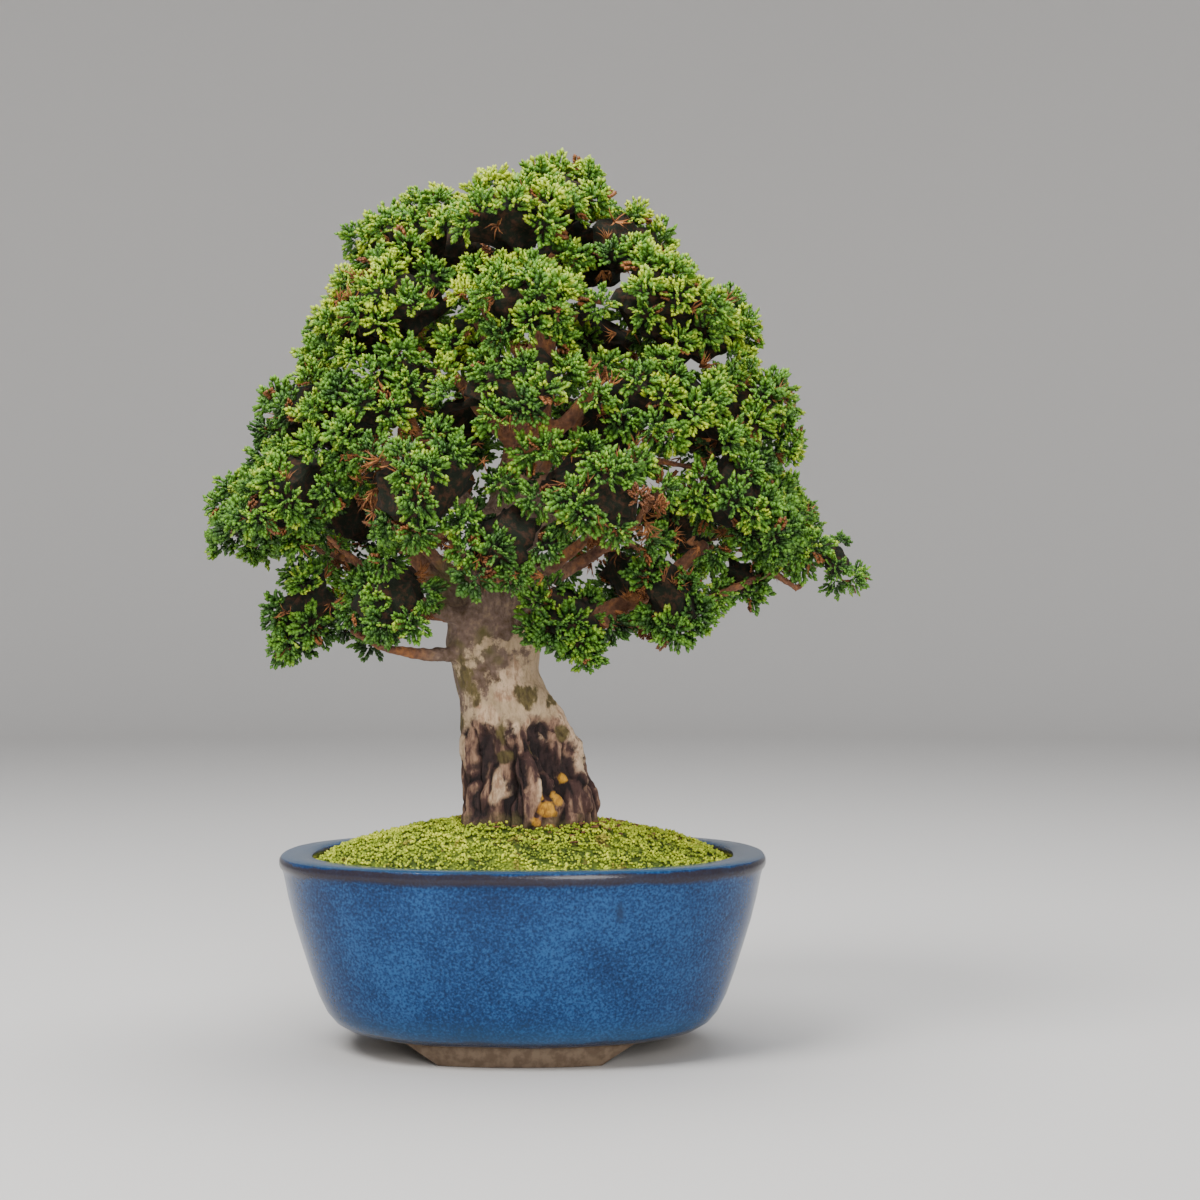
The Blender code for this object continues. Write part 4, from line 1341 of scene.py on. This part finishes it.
@dataclass
class Wood:
    """The trunk, boughs and twigs, remeshed from their CAD solid and carved with bark."""

    material: bpy.types.Material
    centre: Vector
    node: str = "trunk_and_branches"
    voxel: float = 0.76 * MM
    smoothing: int = 2
    crease_depth: float = 1.5 * MM
    creases_around: float = 4.2
    creases_upward: float = 62.0
    crease_sharpness: float = 5.0
    wave_depth: float = 0.9 * MM
    fine_depth: float = 0.42 * MM
    fine_scale: tuple[float, float, float] = (620.0, 620.0, 300.0)
    rugged_top: float = 0.0900
    rugged_fade: float = 0.0100
    bark_top: float = 0.150
    bark_fade: float = 0.010
    bough_bottom: float = 0.100
    trunk_radius: float = 0.0165
    thin_fade: float = 0.0070
    thin_relief: float = 0.6
    axis: tuple[tuple[float, float], ...] = ((0.066, 1.0), (0.080, -1.4), (0.092, -4.7), (0.104, -7.9),
                                             (0.118, -9.0), (0.136, -4.8), (0.156, 0.0), (0.212, 8.0))
    other_views: tuple[float, ...] = (62.0, 108.0, 160.0, 205.0, 250.0, 298.0)
    marks_per_view: int = 5
    side_tones: tuple[Tone, ...] = (Tone.DARK, Tone.DARK, Tone.CREAM, Tone.CREAM, Tone.LICHEN)
    side_across: float = 9.0
    side_half_across: tuple[float, float] = (1.2, 2.8)
    side_lean: float = 14.0
    mark_reach: float = 1.25
    mark_fade: float = 0.55
    wash_fade: float = 0.90
    ragged_scale: float = 330.0
    ragged_mark: float = 0.30
    ragged_wash: float = 0.25
    ray_start: float = 0.2

    def remeshed(self) -> bpy.types.Mesh:
        """Copy the CAD solid, weld it and remesh it finely.

        Returns:
            The fine mesh.
        """
        form = bmesh.new()
        form.from_mesh(node_mesh(self.node))
        bmesh.ops.remove_doubles(form, verts=form.verts, dist=WELD)
        return voxel_remesh(to_mesh("wood_cage", form), self.voxel)

    def axis_x(self, heights: np.ndarray) -> np.ndarray:
        """Give the trunk's middle line across the pot at some heights."""
        table = np.array(self.axis)
        return self.centre.x + np.interp(heights, table[:, 0], table[:, 1] * MM)

    def other_marks(self) -> list[BarkMark]:
        """Draw ribs, hollows and patches for the sides that the photograph doesn't show.

        Returns:
            The marks.
        """
        draw = random.Random(SEED + 300)
        marks = []
        for view in self.other_views:
            for _ in range(self.marks_per_view):
                tone = draw.choice(self.side_tones)
                rise, heights, half_heights = SIDE_MARKS[tone]
                height = draw.uniform(*heights)
                marks.append(BarkMark(draw.uniform(-self.side_across, self.side_across), height,
                                      draw.uniform(*self.side_half_across), draw.uniform(*half_heights),
                                      draw.uniform(-self.side_lean, self.side_lean), rise, tone, view))
        return marks

    def find_spot(self, tree: BVHTree, mark: BarkMark) -> tuple[Vector, Vector] | None:
        """Find where a mark lands on the wood, seen from its side.

        Args:
            tree: the wood's search tree.
            mark: the mark.

        Returns:
            The spot and the direction across the mark, or None where it misses the wood.
        """
        turn = Matrix.Rotation(math.radians(mark.view), 3, "Z")
        toward = turn @ Vector((0.0, 1.0, 0.0))
        across = turn @ Vector((1.0, 0.0, 0.0))
        start = Vector((self.centre.x, self.centre.y, mark.height * MM)) + across * mark.across * MM
        spot = tree.ray_cast(start - toward * self.ray_start, toward)[0]
        return (spot, across) if spot else None

    def carve(self, points: np.ndarray, tree: BVHTree) -> tuple[np.ndarray, dict[str, np.ndarray]]:
        """Work out what the marks do to the surface.

        Args:
            points: the wood's vertices.
            tree: its search tree.

        Returns:
            How far each vertex moves outwards, and each tone's strength on it.
        """
        rise = np.zeros(len(points))
        tones = {tone.value: np.zeros(len(points)) for tone in Tone}
        ragged = np.array([noise.noise(Vector(point) * self.ragged_scale) for point in points])
        for mark in [*FRONT_MARKS, *self.other_marks()]:
            found = self.find_spot(tree, mark)
            if found is None:
                continue
            spot, across = found
            offset = points - np.array(spot)
            flat = np.hypot(offset[:, 0], offset[:, 1]) * np.sign(offset[:, :2] @ np.array(across.xy))
            lean = math.radians(mark.lean)
            aside = (flat * math.cos(lean) - offset[:, 2] * math.sin(lean)) / (mark.half_across * MM)
            along = (flat * math.sin(lean) + offset[:, 2] * math.cos(lean)) / (mark.half_height * MM)
            reach = self.mark_reach - np.hypot(aside, along) + self.ragged_mark * ragged
            share = np.clip(reach / self.mark_fade, 0.0, 1.0)
            rise += share * share * (3.0 - 2.0 * share) * mark.rise * MM
            if mark.tone is not Tone.PLAIN:
                wash = np.clip((reach + self.ragged_wash * ragged) / self.wash_fade, 0.0, 1.0)
                tones[mark.tone.value] = np.maximum(tones[mark.tone.value], wash)
        return rise, tones

    def weather(self, points: np.ndarray, rise: np.ndarray, tones: dict[str, np.ndarray]) -> None:
        """Add the creased base, the fine bark and the thin wood's own tone to what the marks do.

        Args:
            points: the wood's vertices.
            rise: how far each vertex moves outwards, which is changed.
            tones: each tone's strength, to which crease and twig are added.
        """
        heights = points[:, 2]
        east = points[:, 0] - self.axis_x(heights)
        north = points[:, 1] - self.centre.y
        angle = np.arctan2(north, east)
        rugged = np.clip((self.rugged_top - heights) / self.rugged_fade, 0.0, 1.0)
        around = np.stack([np.cos(angle) * self.creases_around, np.sin(angle) * self.creases_around,
                           heights * self.creases_upward], axis=1)
        wave = np.array([noise.noise(Vector(place)) for place in around])
        fine = np.array([noise.noise(Vector(place)) for place in points * self.fine_scale])
        crease = np.clip(1.0 - np.abs(wave) * self.crease_sharpness, 0.0, 1.0) ** 1.5 * rugged
        thin = np.clip((np.hypot(east, north) - self.trunk_radius) / self.thin_fade, 0.0, 1.0)
        thin *= heights > self.bough_bottom
        # The crease value also darkens the base's colour in the bark finish, as painted shade.
        tones["crease"] = crease
        tones["twig"] = np.maximum(thin, np.clip((heights - self.bark_top) / self.bark_fade, 0.0, 1.0))
        rise += self.fine_depth * fine - self.crease_depth * crease + rugged * wave * self.wave_depth
        rise *= np.where(tones["twig"] > 0.5, self.thin_relief, 1.0)

    def build(self) -> None:
        """Make the wood with its creases, hollows, knobs and flaky bark."""
        form = bmesh.new()
        fine_mesh = self.remeshed()
        form.from_mesh(fine_mesh)
        bpy.data.meshes.remove(fine_mesh)
        relax(form, self.smoothing)
        form.normal_update()
        tree = BVHTree.FromBMesh(form)
        points = np.array([vertex.co for vertex in form.verts])
        rise, tones = self.carve(points, tree)
        self.weather(points, rise, tones)
        layers = {name: form.verts.layers.float.new(name) for name in tones}
        for index, vertex in enumerate(form.verts):
            for name, layer in layers.items():
                vertex[layer] = tones[name][index]
            vertex.co += vertex.normal * rise[index]
        finish_piece("trunk_bark", form, self.material, [self.node])


@dataclass
class BoughSprays:
    """Small half-dead tufts that grow straight from the boughs and twigs."""

    material: bpy.types.Material
    press: TuftPress
    count: int = 34
    node: str = "trunk_and_branches"
    nearest: float = 0.024
    lowest: float = 0.108
    sink: float = 0.6 * MM
    sizes: tuple[float, float] = (0.40, 0.62)
    age: float = -0.08
    age_spread: float = 0.06
    dead_share: float = 0.5

    def build(self) -> None:
        """Scatter the tufts along the outer wood."""
        draw = random.Random(SEED + 900)
        sampler = SurfaceSampler(node_mesh(self.node), draw)
        pile = MeshPile(("age", "dead"))
        placed = 0
        while placed < self.count:
            point, normal = sampler.one()
            if point.z < self.lowest or point.xy.length < self.nearest:
                continue
            place = heading_matrix(point - normal * self.sink, normal, any_turn(draw),
                                   draw.uniform(*self.sizes))
            pile.add(draw.choice(self.press.stamps), place, age=draw.gauss(self.age, self.age_spread),
                     dead=float(draw.random() < self.dead_share))
            placed += 1
        finish_piece("bough_sprays", pile.to_bmesh(), self.material, [])


# The bowl's section in millimetres, radius and height: from the drain hole up the inside and over the rim
POT_SECTION = (
    (7.0, 9.2), (7.4, 10.0), (41.0, 10.0), (46.0, 12.5), (50.5, 20.0), (53.6, 30.0), (55.6, 42.0),
    (55.9, 48.0), (56.0, 50.6), (56.3, 51.5), (57.0, 51.95), (60.5, 52.0), (63.6, 51.95), (64.5, 51.6),
    (64.95, 50.8),
    (65.0, 49.6), (64.8, 48.9), (64.2, 48.2), (63.7, 46.6), (62.6, 41.0), (61.0, 34.5), (59.0, 28.0),
    (56.6, 20.5), (54.6, 15.0), (52.4, 10.6), (50.2, 8.0), (47.4, 6.3), (44.0, 5.4), (40.0, 5.0), (7.4, 5.0),
    (7.0, 5.8),
)


@dataclass
class Pot:
    """The oval glazed bowl with its flat rim, drain hole and cut feet."""

    material: bpy.types.Material
    length: float = 0.130
    depth: float = 0.104
    oval: float = 2.35
    steps: int = 144
    foot_half: float = 0.043
    foot_width: float = 7.0 * MM
    foot_height: float = 5.0 * MM
    foot_end_top: float = 0.030
    foot_end_bottom: float = 0.021
    foot_cuts: int = 30
    foot_inset: float = 1.2 * MM
    foot_sink: float = 0.4 * MM
    foot_round: float = 0.35 * MM
    foot_edge: float = 0.6
    round_radius: float = 8.0 * MM
    oval_fade: float = 12.0 * MM
    sharp_angle: float = 38.0

    def centre(self) -> Vector:
        """Give the pot's middle on the ground."""
        low, high = box_of("pot")
        return Vector(((low.x + high.x) / 2, (low.y + high.y) / 2, 0.0))

    def to_oval(self, point: Vector) -> Vector:
        """Press a point of the round turned bowl into the oval, leaving the drain hole round.

        Args:
            point: the point.

        Returns:
            The pressed point.
        """
        radius = point.xy.length
        angle = math.atan2(point.y, point.x)
        lobe = (abs(math.cos(angle)) ** self.oval + abs(math.sin(angle)) ** self.oval) ** (-1.0 / self.oval)
        share = max(0.0, min(1.0, (radius - self.round_radius) / self.oval_fade))
        return Vector((point.x * (1.0 + (lobe - 1.0) * share),
                       point.y * (1.0 + (lobe * self.depth / self.length - 1.0) * share), point.z))

    def ring_y(self, half: float, across: float) -> float:
        """Give the oval's depth at a distance across, for a ring of a given half length."""
        share = min(1.0, abs(across) / half)
        return half * self.depth / self.length * (1.0 - share ** self.oval) ** (1.0 / self.oval)

    def add_foot(self, form: bmesh.types.BMesh, side: int) -> None:
        """Add one foot: a bar bent along the oval, with both ends cut on a slant.

        Args:
            form: an empty bmesh.
            side: -1 for the front foot, 1 for the rear one.
        """
        bmesh.ops.create_cube(form, size=2.0)
        edges = [edge for edge in form.edges if abs(edge.verts[0].co.x - edge.verts[1].co.x) > 1.0]
        bmesh.ops.subdivide_edges(form, edges=edges, cuts=self.foot_cuts, use_grid_fill=True)
        for vertex in form.verts:
            upper = vertex.co.z > 0.0
            outer = vertex.co.y > 0.0
            across = vertex.co.x * (self.foot_end_top if upper else self.foot_end_bottom)
            half = self.foot_half if outer else self.foot_half - self.foot_width
            inset = 0.0 if upper or not outer else self.foot_inset
            vertex.co = Vector((across, side * (self.ring_y(half, across) - inset),
                                self.foot_height + self.foot_sink if upper else 0.0))
        bmesh.ops.recalc_face_normals(form, faces=form.faces)
        rim = [edge for edge in form.edges if edge.is_manifold and edge.calc_face_angle(0.0) > self.foot_edge]
        bmesh.ops.bevel(form, geom=rim, offset=self.foot_round, segments=2, profile=0.5, affect="EDGES",
                        material=-1)

    def build(self) -> None:
        """Make the pot in one piece."""
        form = bmesh.new()
        section = [(radius * MM, height * MM) for radius, height in POT_SECTION]
        turn_profile(form, section, self.steps, closed=True)
        for vertex in form.verts:
            vertex.co = self.to_oval(vertex.co)
        bmesh.ops.recalc_face_normals(form, faces=form.faces)
        for side in (-1, 1):
            foot = bmesh.new()
            self.add_foot(foot, side)
            mesh = to_mesh("foot", foot)
            form.from_mesh(mesh)
            bpy.data.meshes.remove(mesh)
        bmesh.ops.translate(form, verts=form.verts, vec=self.centre())
        piece = finish_piece("glazed_pot", form, self.material, ["pot"])
        piece.data.set_sharp_from_angle(angle=math.radians(self.sharp_angle))


@dataclass
class Moss:
    """The moss carpet: a lumpy mound set with tiny blunt heads that crowd into clumps."""

    material: bpy.types.Material
    heads: int = 12500
    head_height: float = 1.00 * MM
    head_radius: float = 0.46 * MM
    head_sides: int = 4
    head_belly: float = 0.6
    head_age: float = 0.30
    head_lean: float = 0.45
    head_sizes: tuple[float, float] = (0.65, 1.15)
    head_sink: float = 0.35 * MM
    clump: float = 1.15 * MM
    clump_scale: float = 300.0
    clump_sharpness: float = 2.2
    clump_age: float = 0.50
    mound_age: float = 0.05
    low_age: float = -0.02
    age_spread: float = 0.12
    steepest: float = 0.25
    node: str = "moss"

    def head(self) -> Stamp:
        """Make one head: a squat bud, widest above its middle and paler at its top.

        Returns:
            The head.
        """
        form = bmesh.new()
        closed_bud(form, self.head_sides, self.head_radius, self.head_height, self.head_belly)
        stamp = stamp_of(form)
        stamp.values["age"] = self.head_age * stamp.points[:, 2] / self.head_height
        return stamp

    def build(self) -> None:
        """Make the mound and crowd it with heads, high on the clumps and low between them."""
        draw = random.Random(SEED + 50)
        pile = MeshPile(("age",))
        pile.add(read_stamp(node_mesh(self.node)), Matrix.Identity(4), age=self.mound_age)
        sampler = SurfaceSampler(node_mesh(self.node), draw)
        head = self.head()
        placed = 0
        while placed < self.heads:
            point, normal = sampler.one()
            if normal.z < self.steepest:
                continue
            lump = max(0.0, 1.0 - self.clump_sharpness * abs(noise.noise(point * self.clump_scale)))
            heading = (normal + scatter(draw, self.head_lean)).normalized()
            place = heading_matrix(point + normal * (lump * self.clump - self.head_sink), heading,
                                   any_turn(draw), draw.uniform(*self.head_sizes))
            pile.add(head, place, age=self.clump_age * lump + self.low_age + draw.gauss(0.0, self.age_spread))
            placed += 1
        finish_piece("moss_tufts", pile.to_bmesh(), self.material, [self.node])


@dataclass
class Litter:
    """Flakes of bark shed on the moss by the trunk."""

    material: bpy.types.Material
    count: int = 46
    size: float = 1.6 * MM
    lengths: tuple[float, float] = (0.5, 1.5)
    widths: tuple[float, float] = (0.3, 0.7)
    thickness: float = 0.35 * MM
    tilt: float = 0.5
    lift: float = 1.2 * MM
    rounding: float = 0.10 * MM
    middle: tuple[float, float] = (0.006, -0.004)
    farthest: float = 0.028
    thinning: float = 0.017
    thinning_fade: float = 0.012
    steepest: float = 0.6

    def build(self) -> None:
        """Scatter the flakes in front and to the right of the root base."""
        draw = random.Random(SEED + 70)
        sampler = SurfaceSampler(node_mesh("moss"), draw)
        form = bmesh.new()
        placed = 0
        while placed < self.count:
            point, normal = sampler.one()
            near = (point.xy - Vector(self.middle)).length
            if (normal.z < self.steepest or near > self.farthest
                    or draw.random() < (near - self.thinning) / self.thinning_fade):
                continue
            made = bmesh.ops.create_cube(form, size=1.0)["verts"]
            stretch = Matrix.Diagonal((self.size * draw.uniform(*self.lengths),
                                       self.size * draw.uniform(*self.widths), self.thickness, 1.0))
            spin = Matrix.Rotation(any_turn(draw), 4, "Z")
            tilt = Matrix.Rotation(draw.uniform(-self.tilt, self.tilt), 4, "X")
            lifted = Matrix.Translation(point + normal * self.lift)
            bmesh.ops.transform(form, matrix=lifted @ (spin @ tilt) @ stretch, verts=made)
            placed += 1
        bmesh.ops.bevel(form, geom=form.edges[:], offset=self.rounding, segments=1, profile=0.5,
                        affect="EDGES", material=-1)
        finish_piece("bark_litter", form, self.material, [], smooth=False)


@dataclass(frozen=True)
class Lamp:
    """One soft round light that is aimed at the tree."""

    name: str
    place: tuple[float, float, float]
    size: float
    power: float
    colour: Colour = (1.0, 0.98, 0.95)


LAMPS = (
    Lamp("key_light", (-0.45, -0.55, 0.95), 0.50, 13.0),
    Lamp("fill_light", (0.45, -1.72, 0.60), 0.80, 22.0),
    Lamp("top_light", (0.05, 0.10, 1.05), 0.80, 11.0, (1.0, 1.0, 1.0)),
)


@dataclass
class Studio:
    """The plain floor, the soft lights and the camera at the photograph's angle."""

    lens: float = 72.5
    sensor: float = 36.0
    floor_half: float = 1.5
    cove: float = 0.5
    wall_top: float = 1.3
    floor_colour: Colour = (0.62, 0.61, 0.60)
    sky_colour: Colour = (0.50, 0.51, 0.53)
    sky_strength: float = 0.62
    aim_height: float = 0.12
    cove_steps: int = 12
    floor_steps: int = 96
    floor_roughness: float = 0.9
    clip_start: float = 0.01

    def add_floor(self) -> None:
        """Make the floor: a wide disc that curves up into a low round wall, alike from every side."""
        turns = [math.pi / 2 * step / self.cove_steps for step in range(self.cove_steps + 1)]
        arc = [(self.floor_half + self.cove * math.sin(turn), self.cove * (1.0 - math.cos(turn)))
               for turn in turns]
        form = bmesh.new()
        turn_profile(form, [(0.0, 0.0), (self.floor_half / 2, 0.0), *arc, (arc[-1][0], self.wall_top)],
                     self.floor_steps, closed=False)
        mesh = to_mesh("studio_floor", form)
        mesh.shade_smooth()
        material, nodes = new_material("studio_paper", self.floor_roughness)
        nodes.shader.inputs["Base Color"].default_value = (*self.floor_colour, 1.0)
        mesh.materials.append(material)
        floor = new_object("studio_floor", mesh)

    def add_lamp(self, lamp: Lamp) -> None:
        """Add one light.

        Args:
            lamp: the light.
        """
        light = bpy.data.lights.new(lamp.name, "AREA")
        light.shape = "DISK"
        light.size = lamp.size
        light.energy = lamp.power
        light.color = lamp.colour
        made = new_object(lamp.name, light)
        made.location = lamp.place
        aim = Vector((0.0, 0.0, self.aim_height)) - Vector(lamp.place)
        made.rotation_euler = aim.to_track_quat("-Z", "Y").to_euler()
        made.visible_camera = False

    def add_camera(self, centre: Vector) -> None:
        """Place the level camera of the photograph.

        Args:
            centre: the pot's middle on the ground.
        """
        data = bpy.data.cameras.new("camera")
        data.lens = self.lens
        data.sensor_width = self.sensor
        data.clip_start = self.clip_start
        camera = new_object("camera", data)
        camera.location = (centre.x + STUDIO_ASIDE, centre.y - STUDIO_DISTANCE, STUDIO_HEIGHT)
        camera.rotation_euler = (math.pi / 2, 0.0, 0.0)
        bpy.context.scene.camera = camera

    def build(self, centre: Vector) -> None:
        """Make the whole studio.

        Args:
            centre: the pot's middle on the ground.
        """
        self.add_camera(centre)
        self.add_floor()
        for lamp in LAMPS:
            self.add_lamp(lamp)
        world = bpy.data.worlds.new("studio_air")
        world.use_nodes = True
        sky = world.node_tree.nodes["Background"]
        sky.inputs["Color"].default_value = (*self.sky_colour, 1.0)
        sky.inputs["Strength"].default_value = self.sky_strength
        bpy.context.scene.world = world


def dress_carried_nodes() -> None:
    """Give the CAD nodes that stay their own procedural materials."""
    finishes = {
        "soil": PlainFinish("granular_soil", (0.030, 0.020, 0.014), (0.170, 0.115, 0.075), 300.0, 900.0),
        "drain_screen": PlainFinish("woven_net", (0.012, 0.012, 0.012), (0.035, 0.035, 0.035), 200.0, 1500.0,
                                    0.55, 0.0001),
    }
    for name, finish in finishes.items():
        material = finish.build()
        for slot in bpy.data.objects[name].material_slots:
            slot.material = material
        log.info("%s: dressed", name)


def main() -> None:
    """Build every piece in order and report it."""
    logging.basicConfig(level=logging.INFO, format="%(message)s")
    pot = Pot(GlazeFinish().build())
    Studio().build(pot.centre())
    pot.build()
    dress_carried_nodes()
    Moss(MossFinish().build()).build()
    shed = PlainFinish("shed_bark", (0.060, 0.030, 0.018), (0.330, 0.150, 0.060), 200.0, 900.0)
    Litter(shed.build()).build()
    Wood(BarkFinish().build(), pot.centre()).build()
    press = TuftPress()
    press.press()
    leaves = LeafFinish().build()
    crown = Crown(leaves, press, pot.centre())
    crown.build()
    dry = PlainFinish("withered_twigs", (0.120, 0.045, 0.018), (0.480, 0.185, 0.055), 120.0, 700.0)
    DeadTwigs(dry.build(), crown.gaps).build()
    BoughSprays(leaves, press).build()


if __name__ == "__main__":
    main()
